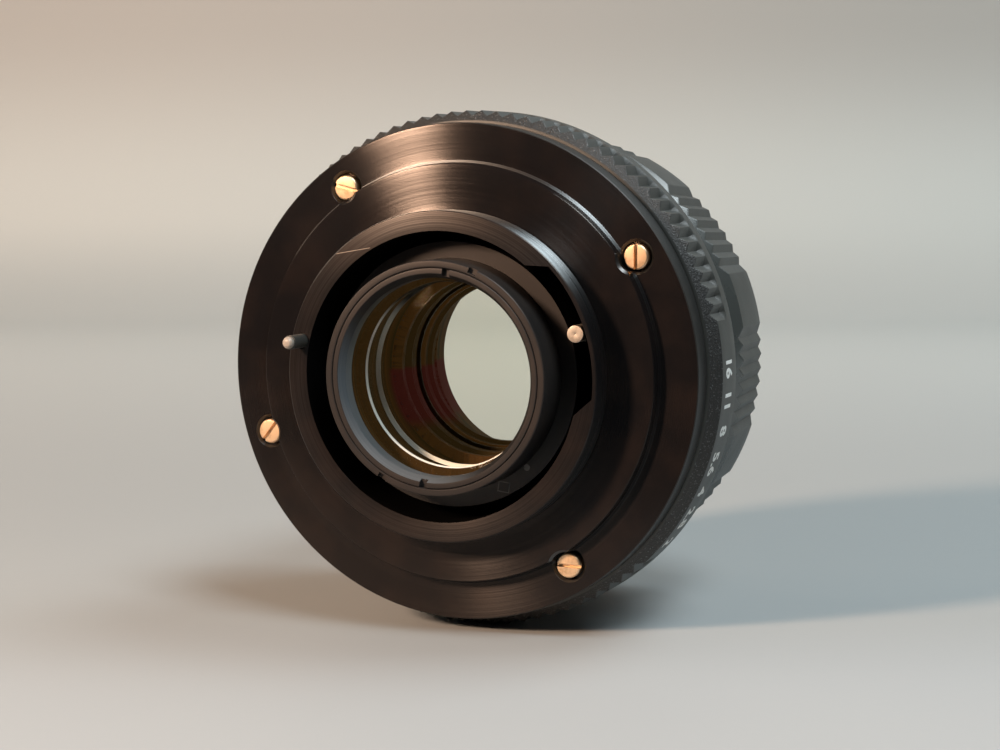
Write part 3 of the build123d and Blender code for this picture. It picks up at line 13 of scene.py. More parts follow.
import bpy
import bmesh
import mathutils
import numpy as np
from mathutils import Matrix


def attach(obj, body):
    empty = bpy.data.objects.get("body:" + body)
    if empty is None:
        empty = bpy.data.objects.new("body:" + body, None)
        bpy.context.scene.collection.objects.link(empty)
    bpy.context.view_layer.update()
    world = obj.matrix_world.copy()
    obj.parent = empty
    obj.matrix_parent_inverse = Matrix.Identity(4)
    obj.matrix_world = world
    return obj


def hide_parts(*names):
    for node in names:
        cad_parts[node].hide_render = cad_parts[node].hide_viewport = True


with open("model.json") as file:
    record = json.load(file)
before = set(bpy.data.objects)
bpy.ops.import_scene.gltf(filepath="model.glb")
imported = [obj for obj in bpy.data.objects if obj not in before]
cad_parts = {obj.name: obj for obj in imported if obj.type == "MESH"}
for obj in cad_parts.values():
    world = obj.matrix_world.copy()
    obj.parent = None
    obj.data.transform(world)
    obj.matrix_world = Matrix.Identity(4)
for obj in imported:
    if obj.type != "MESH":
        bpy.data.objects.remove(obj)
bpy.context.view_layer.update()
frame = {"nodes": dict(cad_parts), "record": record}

MM = 0.001
LOG = logging.getLogger("lens")
BLACK = "black_anodised_aluminium"
SMOOTH_DEG = 28.0
AXIS_R = 0.001
FINE_EDGE = 0.04
EDGE = 0.05
GLASS_COLUMNS = 240
FACE_STEPS = 40

Points = np.ndarray
Colour = tuple[float, float, float]
Range = tuple[float, float]
Section = tuple[tuple[float, float], ...]
Socket = bpy.types.NodeSocket
Value = Union[Socket, float]


# ---------------------------------------------------------------- surfaces


def soften(corners: Sequence[tuple[float, float]], radius: float, steps: int = 3) -> Points:
    """Closed outline with each corner replaced by a small curve.

    Each corner becomes a quadratic curve from a point on one side to a point on the other, at the
    radius's distance from it or 40% of the shorter side.

    Args:
        corners: The outline's corners as (radius, height).
        radius: How far from a corner its curve begins.
        steps: How many pieces the curve has.

    Returns:
        The outline as an (n, 2) array.
    """
    p = np.asarray(corners, float)
    before, after = np.roll(p, 1, axis=0), np.roll(p, -1, axis=0)
    to_before, to_after = before - p, after - p
    long_before = np.linalg.norm(to_before, axis=1)
    long_after = np.linalg.norm(to_after, axis=1)
    cut = np.minimum(radius, 0.4 * np.minimum(long_before, long_after))[:, None]
    start = p + to_before / long_before[:, None] * cut
    end = p + to_after / long_after[:, None] * cut
    t = np.linspace(0.0, 1.0, steps + 1)[None, :, None]
    curve = (1 - t) ** 2 * start[:, None] + 2 * t * (1 - t) * p[:, None] + t**2 * end[:, None]
    return curve.reshape(-1, 2)


def subdivide(outline: Points, longest: Union[float, Points]) -> Points:
    """Closed outline with points added by linear steps until no side is too long.

    Args:
        outline: Points (n, 2).
        longest: The longest side allowed, one value or one for each side.

    Returns:
        The finer outline.
    """
    following = np.roll(outline, -1, axis=0)
    sides = np.linalg.norm(following - outline, axis=1)
    counts = np.maximum(1, np.ceil(sides / longest)).astype(int)
    runs = [a + (b - a) * np.linspace(0, 1, n, endpoint=False)[:, None]
            for a, b, n in zip(outline, following, counts)]
    return np.concatenate(runs)


def wrap_faces(rows: int, columns: int, close_rows: bool = True,
               close_columns: bool = True) -> Points:
    """Quads of a grid of points numbered row by row.

    Args:
        rows: Number of rows.
        columns: Number of points in a row.
        close_rows: Whether the last row joins the first.
        close_columns: Whether each row's last point joins its first.

    Returns:
        Vertex numbers, four to a row.
    """
    i = np.arange(rows if close_rows else rows - 1)
    j = np.arange(columns if close_columns else columns - 1)
    a, b = np.meshgrid(i, j, indexing="ij")
    a1, b1 = (a + 1) % rows, (b + 1) % columns
    quads = np.stack([a * columns + b, a * columns + b1, a1 * columns + b1, a1 * columns + b], -1)
    return quads.reshape(-1, 4)


def link(piece: bpy.types.Object) -> bpy.types.Object:
    """Puts an object into the scene."""
    bpy.context.scene.collection.objects.link(piece)
    return piece


def smooth(mesh: bpy.types.Mesh, sharp_deg: float = SMOOTH_DEG) -> None:
    """Shades a mesh smooth, with the edges that turn by more than an angle kept sharp."""
    mesh.polygons.foreach_set("use_smooth", np.ones(len(mesh.polygons), bool))
    mesh.set_sharp_from_angle(angle=math.radians(sharp_deg))


def mesh_object(name: str, points: Points, quads: Points, uv: Optional[Points] = None,
                sharp_deg: float = SMOOTH_DEG, recalculate: bool = True) -> bpy.types.Object:
    """Object of a quad mesh, given in millimetres, shaded smooth with sharp edges kept.

    Args:
        name: The piece's name.
        points: Vertices, any shape ending in 3.
        quads: Vertex numbers, four to a row.
        uv: One (u, v) for each vertex, if the finish follows the surface.
        sharp_deg: Edges that turn by more than this stay sharp.
        recalculate: Whether to merge doubles and turn the faces outward.

    Returns:
        The linked object.
    """
    vertices = points.reshape(-1, 3) * MM
    mesh = bpy.data.meshes.new(name)
    mesh.vertices.add(len(vertices))
    mesh.vertices.foreach_set("co", vertices.astype(np.float32).ravel())
    mesh.loops.add(quads.size)
    mesh.loops.foreach_set("vertex_index", quads.astype(np.int32).ravel())
    mesh.polygons.add(len(quads))
    mesh.polygons.foreach_set("loop_start", np.arange(0, quads.size, 4, dtype=np.int32))
    if uv is not None:
        layer = mesh.uv_layers.new(name="round")
        corners = uv.reshape(-1, 2)[quads.ravel()]
        layer.uv.foreach_set("vector", corners.astype(np.float32).ravel())
    mesh.update(calc_edges=True)
    mesh.validate()
    if recalculate:
        work = bmesh.new()
        work.from_mesh(mesh)
        bmesh.ops.remove_doubles(work, verts=work.verts, dist=1e-7)
        bmesh.ops.recalc_face_normals(work, faces=work.faces)
        work.to_mesh(mesh)
        work.free()
    smooth(mesh, sharp_deg)
    return link(bpy.data.objects.new(name, mesh))


def revolved(name: str, radius: Points, height: Points, angles: Points,
             sharp_deg: float = SMOOTH_DEG) -> bpy.types.Object:
    """Closed surface of points (r cos a, y, r sin a), with the angle as its u.

    Args:
        name: The piece's name.
        radius: Radii, a row for each angle and a column for each height.
        height: Heights of the outline's points.
        angles: Angles of the rows, once round the axis.
        sharp_deg: Edges that turn by more than this stay sharp.

    Returns:
        The linked object.
    """
    a, count = angles[:, None], len(height)
    points = np.stack([radius * np.cos(a), np.broadcast_to(height, radius.shape),
                       radius * np.sin(a)], -1)
    u = np.broadcast_to(a / (2 * np.pi), radius.shape)
    v = np.broadcast_to(np.arange(1, count + 1) / count, radius.shape)
    return mesh_object(name, points, wrap_faces(*radius.shape), np.stack([u, v], -1), sharp_deg)


def turned(name: str, outline: Points, columns: int = 360) -> bpy.types.Object:
    """Solid of revolution: the outline carried once round the axis.

    Args:
        name: The piece's name.
        outline: Closed outline as (radius, height).
        columns: How many steps go round.

    Returns:
        The linked object.
    """
    angles = np.linspace(0, 2 * np.pi, columns, endpoint=False)
    radius = np.broadcast_to(outline[:, 0], (columns, len(outline)))
    return revolved(name, radius, outline[:, 1], angles)


def prism(outline: Points, rear: float, front: float) -> bpy.types.Object:
    """Straight bar along the axis over a convex outline, used as a cutter.

    Its four rings of points are the rear centre, the outline at the rear and at the front, and
    the front centre.

    Args:
        outline: Closed outline as (x, z).
        rear: Height of the rear end.
        front: Height of the front end.

    Returns:
        The linked object.
    """
    n = len(outline)
    spine = np.array([rear, rear, front, front])
    grow = np.array([0.0, 1.0, 1.0, 0.0])
    centre = outline.mean(axis=0)
    flat = centre + (outline - centre)[None] * grow[:, None, None]
    points = np.stack([flat[..., 0], np.broadcast_to(spine[:, None], (4, n)), flat[..., 1]], -1)
    return mesh_object("cutter", points, wrap_faces(4, n, close_rows=False))


def slab(outline: Points, rear: float, front: float) -> bpy.types.Object:
    """Straight bar along the axis over any plain outline, with one face at either end.

    Args:
        outline: Closed outline as (x, z), which may turn inward.
        rear: Height of the rear end.
        front: Height of the front end.

    Returns:
        The linked object.
    """
    n = len(outline)
    height = np.broadcast_to([[rear], [front]], (2, n))
    x, z = np.tile(outline[:, 0], (2, 1)), np.tile(outline[:, 1], (2, 1))
    quads = wrap_faces(2, n, close_rows=False)
    piece = mesh_object("cutter", np.stack([x, height, z], -1), quads, recalculate=False)
    work = bmesh.new()
    work.from_mesh(piece.data)
    work.verts.ensure_lookup_table()
    for first in (0, n):
        work.faces.new(work.verts[first:first + n])
    bmesh.ops.recalc_face_normals(work, faces=work.faces)
    work.to_mesh(piece.data)
    work.free()
    return piece


def flat_strip(name: str, loops: Points, height: float) -> bpy.types.Object:
    """Flat band between two closed loops at one height.

    Args:
        name: The piece's name.
        loops: The outer and the inner loop as (x, z), shape (2, n, 2).
        height: Height along the axis.

    Returns:
        The linked object.
    """
    points = np.stack([loops[..., 0], np.full(loops.shape[:2], height), loops[..., 1]], -1)
    quads = wrap_faces(2, loops.shape[1], close_rows=False)
    return mesh_object(name, points, quads, recalculate=False)


def circle(x: float, z: float, radius: float, steps: int = 48) -> Points:
    """Closed circle (x + r cos a, z + r sin a)."""
    a = np.linspace(0, 2 * np.pi, steps, endpoint=False)
    return np.stack([x + radius * np.cos(a), z + radius * np.sin(a)], -1)


def bar(x: float, z: float, along: float, across: float, turn_deg: float) -> Points:
    """Closed rectangle in the plane across the axis.

    Args:
        x: Its centre's x.
        z: Its centre's z.
        along: Its length.
        across: Its width.
        turn_deg: Angle of its length from +X towards +Z.

    Returns:
        Four corners as (x, z).
    """
    c, s = math.cos(math.radians(turn_deg)), math.sin(math.radians(turn_deg))
    local = np.array([[-1, -1], [1, -1], [1, 1], [-1, 1]]) * np.array([along / 2, across / 2])
    return local @ np.array([[c, s], [-s, c]]) + np.array([x, z])


def polar(radius: float, angle_deg: float) -> tuple[float, float]:
    """(x, z) at a radius and an angle in degrees."""
    a = math.radians(angle_deg)
    return radius * math.cos(a), radius * math.sin(a)


def shift(piece: bpy.types.Object, x: float, z: float) -> bpy.types.Object:
    """Moves a piece's mesh across the axis and leaves its object at the origin."""
    piece.data.transform(mathutils.Matrix.Translation((x * MM, 0.0, z * MM)))
    return piece


def face_table(mesh: bpy.types.Mesh) -> tuple[Points, Points, Points]:
    """Where a mesh's faces are and which way they look.

    Args:
        mesh: The mesh.

    Returns:
        Centres in millimetres, normals, and the centres' distance from the axis.
    """
    centres, normals = np.empty(len(mesh.polygons) * 3), np.empty(len(mesh.polygons) * 3)
    mesh.polygons.foreach_get("center", centres)
    mesh.polygons.foreach_get("normal", normals)
    centres = centres.reshape(-1, 3) / MM
    return centres, normals.reshape(-1, 3), np.hypot(centres[:, 0], centres[:, 2])


def carve(piece: bpy.types.Object, cutters: Sequence[bpy.types.Object]) -> bpy.types.Object:
    """Takes cutters out of a piece by exact booleans and removes them.

    Args:
        piece: The piece, changed in place.
        cutters: Closed objects.

    Returns:
        The same piece.
    """
    for cutter in cutters:
        step = piece.modifiers.new("cut", "BOOLEAN")
        step.object, step.operation, step.solver = cutter, "DIFFERENCE", "EXACT"
    bpy.context.view_layer.update()
    graph = bpy.context.evaluated_depsgraph_get()
    result = bpy.data.meshes.new_from_object(piece.evaluated_get(graph))
    piece.modifiers.clear()
    old, piece.data = piece.data, result
    result.name = piece.name
    bpy.data.meshes.remove(old)
    for cutter in cutters:
        bpy.data.objects.remove(cutter)
    smooth(result)
    return piece


def merge(name: str, pieces: Sequence[bpy.types.Object]) -> bpy.types.Object:
    """One object holding the meshes of several.

    Args:
        name: The new piece's name.
        pieces: The objects, which are removed.

    Returns:
        The linked object.
    """
    work = bmesh.new()
    for piece in pieces:
        work.from_mesh(piece.data)
    mesh = bpy.data.meshes.new(name)
    work.to_mesh(mesh)
    work.free()
    for piece in pieces:
        bpy.data.objects.remove(piece)
    smooth(mesh)
    return link(bpy.data.objects.new(name, mesh))


# ---------------------------------------------------------------- finishes


class Place(NamedTuple):
    """Sockets that say where a point of the piece is, in millimetres."""

    vector: Socket
    x: Socket
    height: Socket
    z: Socket
    radius: Socket


class Desk:
    """Small helper that lays out one material's nodes."""

    def __init__(self, name: str) -> None:
        """Starts a material with a principled shader and an output.

        Args:
            name: The material's name.
        """
        self.material = bpy.data.materials.new(name)
        self.material.use_nodes = True
        self.tree = self.material.node_tree
        self.shader = self.tree.nodes["Principled BSDF"]
        self.output = self.tree.nodes["Material Output"]

    def add(self, kind: str, **values: object) -> bpy.types.Node:
        """A node of a kind.

        Args:
            kind: The node's type name.
            values: Its properties by name, and its sockets by s_ and their name or number.

        Returns:
            The node.
        """
        node = self.tree.nodes.new(kind)
        for key, value in values.items():
            if key.startswith("s_"):
                node.inputs[int(key[2:]) if key[2:].isdigit() else key[2:]].default_value = value
            else:
                setattr(node, key, value)
        return node

    def join(self, source: Socket, target: Socket) -> None:
        """Links an output socket to an input socket."""
        self.tree.links.new(source, target)

    def feed(self, name: str, source: Socket) -> None:
        """Links a socket to the principled shader's input of a name."""
        self.join(source, self.shader.inputs[name])

    def fill(self, targets: Sequence[Socket], values: Sequence[Union[Value, Colour]]) -> None:
        """Sets or links input sockets.

        Args:
            targets: The sockets.
            values: For each a number, a colour or a socket to link.
        """
        for socket, value in zip(targets, values):
            if isinstance(value, (int, float)):
                socket.default_value = value
            elif isinstance(value, tuple):
                socket.default_value = (*value, 1.0)
            else:
                self.join(value, socket)

    def math(self, operation: str, a: Value, b: Value = 0.0, clamp: bool = False) -> Socket:
        """Result of a Math node.

        Args:
            operation: The node's operation.
            a: First value.
            b: Second value.
            clamp: Whether the result is kept between 0 and 1.

        Returns:
            The result's socket.
        """
        node = self.add("ShaderNodeMath", operation=operation, use_clamp=clamp)
        self.fill(node.inputs[:2], (a, b))
        return node.outputs[0]

    def times(self, a: Value, b: Value, clamp: bool = False) -> Socket:
        """Product of two values."""
        return self.math("MULTIPLY", a, b, clamp)

    def plus(self, a: Value, b: Value) -> Socket:
        """Sum of two values."""
        return self.math("ADD", a, b)

    def ramp(self, source: Socket, low: float, high: float) -> Socket:
        """Smooth step of a value.

        Args:
            source: The value.
            low: Where the step is 0.
            high: Where it has come to 1.

        Returns:
            The step's socket.
        """
        node = self.add("ShaderNodeMapRange", interpolation_type="SMOOTHSTEP", s_1=low, s_2=high)
        self.join(source, node.inputs[0])
        return node.outputs[0]

    def mix(self, factor: Value, a: Union[Socket, Colour], b: Union[Socket, Colour]) -> Socket:
        """Mix of two colours.

        Args:
            factor: 0 for the first colour, 1 for the second.
            a: First colour, a socket or a value.
            b: Second colour.

        Returns:
            The mixed colour's socket.
        """
        node = self.add("ShaderNodeMix", data_type="RGBA")
        self.fill((node.inputs[0], node.inputs[6], node.inputs[7]), (factor, a, b))
        return node.outputs[2]

    def split(self, vector: Socket) -> Sequence[Socket]:
        """Parts of a vector.

        Args:
            vector: The vector.

        Returns:
            Its three sockets.
        """
        parts = self.add("ShaderNodeSeparateXYZ")
        self.join(vector, parts.inputs[0])
        return parts.outputs

    def place(self) -> Place:
        """Object coordinates in millimetres, with the distance from the axis sqrt(x^2 + z^2).

        Returns:
            The sockets.
        """
        source = self.add("ShaderNodeTexCoord")
        scale = self.add("ShaderNodeVectorMath", operation="SCALE")
        scale.inputs[3].default_value = 1.0 / MM
        self.join(source.outputs["Object"], scale.inputs[0])
        x, y, z = self.split(scale.outputs[0])
        radius = self.math("SQRT", self.plus(self.times(x, x), self.times(z, z)))
        return Place(scale.outputs[0], x, y, z, radius)

    def vector(self, x: Value, y: Value, z: Value = 0.0) -> Socket:
        """Vector of three values.

        Args:
            x: First value.
            y: Second value.
            z: Third value.

        Returns:
            The vector's socket.
        """
        node = self.add("ShaderNodeCombineXYZ")
        self.fill(node.inputs, (x, y, z))
        return node.outputs[0]

    def noise(self, vector: Socket, scale: float, detail: float = 2.0,
              roughness: float = 0.5) -> Socket:
        """Value of a noise field.

        Args:
            vector: Where.
            scale: Waves to a unit of the vector.
            detail: Octaves above the first.
            roughness: Weight of each finer octave.

        Returns:
            The value's socket, between 0 and 1.
        """
        node = self.add("ShaderNodeTexNoise", s_Scale=scale, s_Detail=detail,
                        s_Roughness=roughness)
        self.join(vector, node.inputs["Vector"])
        return node.outputs[0]

    def specks(self, vector: Socket, spacing: float, size: float, share: float) -> Socket:
        """Small round dust grains.

        Args:
            vector: Where.
            spacing: Distance of the cells that can hold a grain.
            size: A grain's radius.
            share: Share of the cells that hold one.

        Returns:
            1 on a grain and 0 elsewhere.
        """
        cells = self.add("ShaderNodeTexVoronoi", s_Scale=1.0 / spacing)
        self.join(vector, cells.inputs["Vector"])
        near = self.math("LESS_THAN", cells.outputs["Distance"], size / spacing)
        lot = self.add("ShaderNodeSeparateColor")
        self.join(cells.outputs["Color"], lot.inputs[0])
        return self.times(near, self.math("LESS_THAN", lot.outputs[0], share))

    def bump(self, height: Socket, distance_mm: float, under: Optional[Socket] = None) -> Socket:
        """Bump of a height between 0 and 1.

        Args:
            height: The height's socket.
            distance_mm: What a height of 1 stands for.
            under: A normal that the bump is laid over.

        Returns:
            The normal's socket.
        """
        node = self.add("ShaderNodeBump", s_Strength=1.0, s_Distance=distance_mm * MM)
        self.join(height, node.inputs["Height"])
        if under is not None:
            self.join(under, node.inputs["Normal"])
        return node.outputs[0]

    def set(self, **values: object) -> None:
        """Constant values on the principled shader's own sockets."""
        for key, value in values.items():
            self.shader.inputs[key.replace("_", " ")].default_value = value


class Marks(Enum):
    """Which way the tool marks run on bare metal."""

    ROUND = "round the axis"
    STRAIGHT = "straight across"


@dataclass(frozen=True)
class TurnedBlack:
    """Black anodised aluminium with fine turning lines, dust, worn brown patches and painted shade
    that dims the gloss towards the underside.
    """

    name: str
    base: Colour = (0.0080, 0.0072, 0.0075)
    wear_and_sheen: Colour = (0.0138, 0.0105, 0.0096)
    patch_scale: float = 0.18
    patch_edge: Range = (0.35, 0.75)
    dust: float = 0.11
    dust_spacing: float = 1.9
    dust_size: float = 0.062
    dust_cover: float = 0.8
    dust_colour: Colour = (0.30, 0.28, 0.25)
    roughness: float = 0.23
    line_roughness: float = 0.10
    grain_roughness: float = 0.08
    line_mm: float = 0.19
    line_depth: float = 0.010
    broad_scale: float = 0.9
    grain_scale: float = 6.0
    grain_depth: float = 0.001
    anisotropy: float = 1.0
    anisotropy_turn: float = 0.25
    specular: float = 0.9
    index: float = 1.38
    sheen: Colour = (1.0, 0.93, 0.88)
    # Painted shade: the span of z over which the gloss rises from its least share to full.
    painted_shade_z: Range = (-14.0, 8.0)
    shaded_gloss_least: float = 0.40
    streak_edge: Range = (0.35, 0.65)
    streak_least: float = 0.72
    streak_gain: float = 0.45

    def make(self) -> bpy.types.Material:
        """Lines are noise of the radius and height alone; the gloss fades to the underside as
        painted shade.

        Returns:
            The material.
        """
        d = Desk(self.name)
        at = d.place()
        rings = d.vector(at.radius, at.height)
        lines = d.noise(rings, 1.0 / self.line_mm, 2.0, 0.7)
        broad = d.noise(rings, self.broad_scale, 1.0)
        patch = d.noise(at.vector, self.patch_scale, 3.0)
        grain = d.noise(at.vector, self.grain_scale)
        dust = d.specks(at.vector, self.dust_spacing, self.dust_size, self.dust)
        colour = d.mix(d.ramp(patch, *self.patch_edge), self.base, self.wear_and_sheen)
        d.feed("Base Color", d.mix(d.times(dust, self.dust_cover), colour, self.dust_colour))
        varied = d.plus(d.times(lines, self.line_roughness), d.times(grain, self.grain_roughness))
        middle = (self.line_roughness + self.grain_roughness) / 2
        d.feed("Roughness", d.plus(varied, self.roughness - middle))
        relief = d.bump(broad, self.line_depth, under=d.bump(lines, self.line_depth))
        d.feed("Normal", d.bump(grain, self.grain_depth, under=relief))
        tangent = d.add("ShaderNodeTangent", direction_type="UV_MAP", uv_map="round")
        d.feed("Tangent", tangent.outputs[0])
        # Painted shade on the highlight: the specular level is turned down towards the underside by
        # a smooth step of z.
        rise = d.plus(d.times(d.ramp(at.z, *self.painted_shade_z), 1.0 - self.shaded_gloss_least), self.shaded_gloss_least)
        streaks = d.plus(d.times(d.ramp(lines, *self.streak_edge), self.streak_gain),
                         self.streak_least)
        d.feed("Specular IOR Level", d.times(d.times(rise, streaks), self.specular))
        d.set(Anisotropic=self.anisotropy, Anisotropic_Rotation=self.anisotropy_turn,
              IOR=self.index, Specular_Tint=(*self.sheen, 1.0))
        return d.material


@dataclass(frozen=True)
class CastBlack:
    """Satin black anodised metal without turning lines, with a fine grain and optional painted
    glints.
    """

    name: str
    base: Colour = (0.013, 0.0125, 0.012)
    roughness: float = 0.42
    patch_roughness: float = 0.12
    patch_scale: float = 0.25
    grain_mm: float = 0.12
    grain_depth: float = 0.010
    painted_glint: float = 0.0
    painted_glint_edge: Range = (0.58, 0.72)
    painted_glint_colour: Colour = (0.16, 0.17, 0.17)
    specular: float = 0.5
    dust: float = 0.05
    dust_spacing: float = 2.3
    dust_size: float = 0.05
    dust_cover: float = 0.7
    dust_colour: Colour = (0.3, 0.3, 0.28)

    def make(self) -> bpy.types.Material:
        """Grain is noise alike in every direction; painted glints lighten the colour at its highest
        points.

        Returns:
            The material.
        """
        d = Desk(self.name)
        at = d.place()
        grain = d.noise(at.vector, 1.0 / self.grain_mm, 3.0, 0.6)
        patch = d.noise(at.vector, self.patch_scale)
        # Painted glints: the base colour is lightened where the grain peaks.
        light = d.times(d.ramp(grain, *self.painted_glint_edge), self.painted_glint)
        colour = d.mix(light, self.base, self.painted_glint_colour)
        dust = d.specks(at.vector, self.dust_spacing, self.dust_size, self.dust)
        d.feed("Base Color", d.mix(d.times(dust, self.dust_cover), colour, self.dust_colour))
        varied = d.times(patch, self.patch_roughness)
        d.feed("Roughness", d.plus(varied, self.roughness - self.patch_roughness / 2))
        d.feed("Normal", d.bump(grain, self.grain_depth))
        d.set(Specular_IOR_Level=self.specular)
        return d.material


@dataclass(frozen=True)
class ShoulderPaintedSheen:
    """Black inside metal whose exposed rear shoulder carries a painted warm sheen in brown, faded
    towards the underside by painted shade.
    """

    name: str
    base: Colour = (0.006, 0.006, 0.0062)
    brown: Colour = (0.0105, 0.0072, 0.0056)
    behind_y: float = -1.9
    painted_shade_z: Range = (-9.0, 11.0)
    grain_scale: float = 7.0
    grain_depth: float = 0.006
    roughness: float = 0.42

    def make(self) -> bpy.types.Material:
        """The painted brown sheen covers what lies behind a height and fades towards the underside
        as painted shade.

        Returns:
            The material.
        """
        d = Desk(self.name)
        at = d.place()
        behind = d.math("LESS_THAN", at.height, self.behind_y)
        # Painted sheen and painted shade: brown behind the shoulder's height, fading out towards
        # the underside.
        share = d.times(behind, d.ramp(at.z, *self.painted_shade_z))
        d.feed("Base Color", d.mix(share, self.base, self.brown))
        d.feed("Normal", d.bump(d.noise(at.vector, self.grain_scale), self.grain_depth))
        d.set(Roughness=self.roughness)
        return d.material


@dataclass(frozen=True)
class ConePaintedSheen:
    """Satin inner cone of the slotted ring, with a painted blue-grey sheen on its lower left side.
    """

    name: str
    base: Colour = (0.010, 0.010, 0.010)
    wear_and_sheen: Colour = (0.12, 0.145, 0.165)
    toward: Range = (-0.75, -0.65)
    wear_and_sheen_edge: Range = (1.0, 10.0)
    streak_scale: float = 5.0
    streak_gain: float = 0.7
    streak_least: float = 0.4
    roughness: float = 0.45

    def make(self) -> bpy.types.Material:
        """The painted sheen grows along a direction across the axis, with fine streaks round it.

        Returns:
            The material.
        """
        d = Desk(self.name)
        at = d.place()
        # Painted reflection: the blue-grey sheen grows towards the lower left, where the cone would
        # catch the cool light.
        along = d.plus(d.times(at.x, self.toward[0]), d.times(at.z, self.toward[1]))
        streak = d.noise(d.vector(at.radius, at.height), self.streak_scale)
        streak = d.plus(d.times(streak, self.streak_gain), self.streak_least)
        wear_and_sheen_share = d.times(d.ramp(along, *self.wear_and_sheen_edge), streak, clamp=True)
        d.feed("Base Color", d.mix(wear_and_sheen_share, self.base, self.wear_and_sheen))
        d.set(Roughness=self.roughness)
        return d.material


@dataclass(frozen=True)
class CellWallPaintedReflection:
    """Inner walls with painted coating reflections: olive and amber bands and a red-brown patch,
    which also glow as painted light.
    """

    name: str
    olive: Colour = (0.022, 0.015, 0.005)
    amber: Colour = (0.050, 0.023, 0.006)
    red: Colour = (0.048, 0.0105, 0.0075)
    band_scale: float = 1.3
    band_edge: Range = (0.4, 0.62)
    patch_top: Range = (-0.9, -0.4)
    patch_foot: Range = (-8.6, -6.6)
    patch_rear: Range = (7.0, 8.5)
    # Painted light: the walls glow in their own colour though they are no lamp.
    painted_glow: float = 0.5
    roughness: float = 0.6
    specular: float = 0.08

    def make(self) -> bpy.types.Material:
        """Bands are noise of the height alone; the patch lies between two levels of z.

        Returns:
            The material.
        """
        d = Desk(self.name)
        at = d.place()
        bands = d.noise(d.vector(at.height, 0.0), self.band_scale)
        colour = d.mix(d.ramp(bands, *self.band_edge), self.olive, self.amber)
        below = d.math("SUBTRACT", 1.0, d.ramp(at.z, *self.patch_top))
        patch = d.times(below, d.ramp(at.z, *self.patch_foot))
        patch = d.times(patch, d.ramp(at.height, *self.patch_rear))
        # Painted reflection: the coating colours, patch included, go into the base colour and the
        # emission.
        painted_reflection = d.mix(patch, colour, self.red)
        d.feed("Base Color", painted_reflection)
        d.feed("Emission Color", painted_reflection)
        d.set(Roughness=self.roughness, Specular_IOR_Level=self.specular,
              Emission_Strength=self.painted_glow)
        return d.material


@dataclass(frozen=True)
class GroundBevel:
    """Pale ground bevel of an element, darkened towards its top by painted shade."""

    name: str
    pale: Colour = (0.85, 0.88, 0.86)
    dark: Colour = (0.02, 0.016, 0.008)
    painted_shade_z: Range = (5.0, 9.0)
    roughness: float = 0.6

    def make(self) -> bpy.types.Material:
        """The colour is a smooth step of the height above the axis.

        Returns:
            The material.
        """
        d = Desk(self.name)
        # Painted shade: the pale colour gives way to dark towards the top.
        d.feed("Base Color", d.mix(d.ramp(d.place().z, *self.painted_shade_z), self.pale, self.dark))
        d.set(Roughness=self.roughness)
        return d.material


@dataclass(frozen=True)
class BareMetal:
    """Turned or drawn bare metal with fine lines along one direction."""

    name: str
    base: Colour
    dark: Colour
    roughness: float
    marks: Marks = Marks.ROUND
    line_mm: float = 0.08
    line_depth: float = 0.004
    line_shade: float = 0.35
    line_roughness: float = 0.2
    stain_scale: float = 0.9
    stain_edge: Range = (0.45, 0.75)

    def make(self) -> bpy.types.Material:
        """Lines follow the radius, or the X direction where the marks are straight.

        Returns:
            The material.
        """
        d = Desk(self.name)
        at = d.place()
        across = at.x if self.marks is Marks.STRAIGHT else at.radius
        lines = d.noise(d.vector(across, at.height), 1.0 / self.line_mm, 2.0, 0.6)
        stain = d.noise(at.vector, self.stain_scale, 3.0, 0.6)
        colour = d.mix(d.ramp(stain, *self.stain_edge), self.base, self.dark)
        d.feed("Base Color", d.mix(d.times(lines, self.line_shade), colour, self.dark))
        varied = d.times(lines, self.line_roughness)
        d.feed("Roughness", d.plus(varied, self.roughness - self.line_roughness / 2))
        d.feed("Normal", d.bump(lines, self.line_depth))
        d.set(Metallic=1.0)
        return d.material


@dataclass(frozen=True)
class CoatedGlass:
    """Clear coated glass: it lets light straight through and mirrors a tinted share of it."""

    name: str
    mirror: float = 0.00012
    edge_mirror: float = 0.014
    tint: Colour = (0.998, 0.998, 0.985)
    coat: Colour = (1.0, 0.86, 0.6)
    smear_scale: float = 0.5
    smear_roughness: float = 0.02
    edge_blend: float = 0.25

    def make(self) -> bpy.types.Material:
        """The mirrored share grows towards grazing view by the Fresnel law.

        Returns:
            The material.
        """
        d = Desk(self.name)
        smear = d.noise(d.place().vector, self.smear_scale, 4.0, 0.65)
        clear = d.add("ShaderNodeBsdfTransparent", s_Color=(*self.tint, 1.0))
        gloss = d.add("ShaderNodeBsdfGlossy", s_Color=(*self.coat, 1.0))
        d.join(d.times(smear, self.smear_roughness), gloss.inputs["Roughness"])
        facing = d.add("ShaderNodeLayerWeight", s_Blend=self.edge_blend)
        share = d.plus(d.times(facing.outputs["Fresnel"], self.edge_mirror), self.mirror)
        both = d.add("ShaderNodeMixShader")
        d.fill(both.inputs, (share, clear.outputs[0], gloss.outputs[0]))
        d.join(both.outputs[0], d.output.inputs["Surface"])
        d.tree.nodes.remove(d.shader)
        d.material.surface_render_method = "BLENDED"
        return d.material


@dataclass(frozen=True)
class Paint:
    """Flat engraving paint with slight wear."""

    name: str
    colour: Colour
    roughness: float = 0.5
    wear_scale: float = 5.0
    wear_and_sheen_edge: Range = (0.5, 0.8)
    worn_share: float = 0.55

    def make(self) -> bpy.types.Material:
        """Colour dimmed by a fine noise.

        Returns:
            The material.
        """
        d = Desk(self.name)
        wear_and_sheen_share = d.noise(d.place().vector, self.wear_scale)
        dim = tuple(self.worn_share * c for c in self.colour)
        d.feed("Base Color", d.mix(d.ramp(wear_and_sheen_share, *self.wear_and_sheen_edge), self.colour, dim))
        d.set(Roughness=self.roughness)
        return d.material


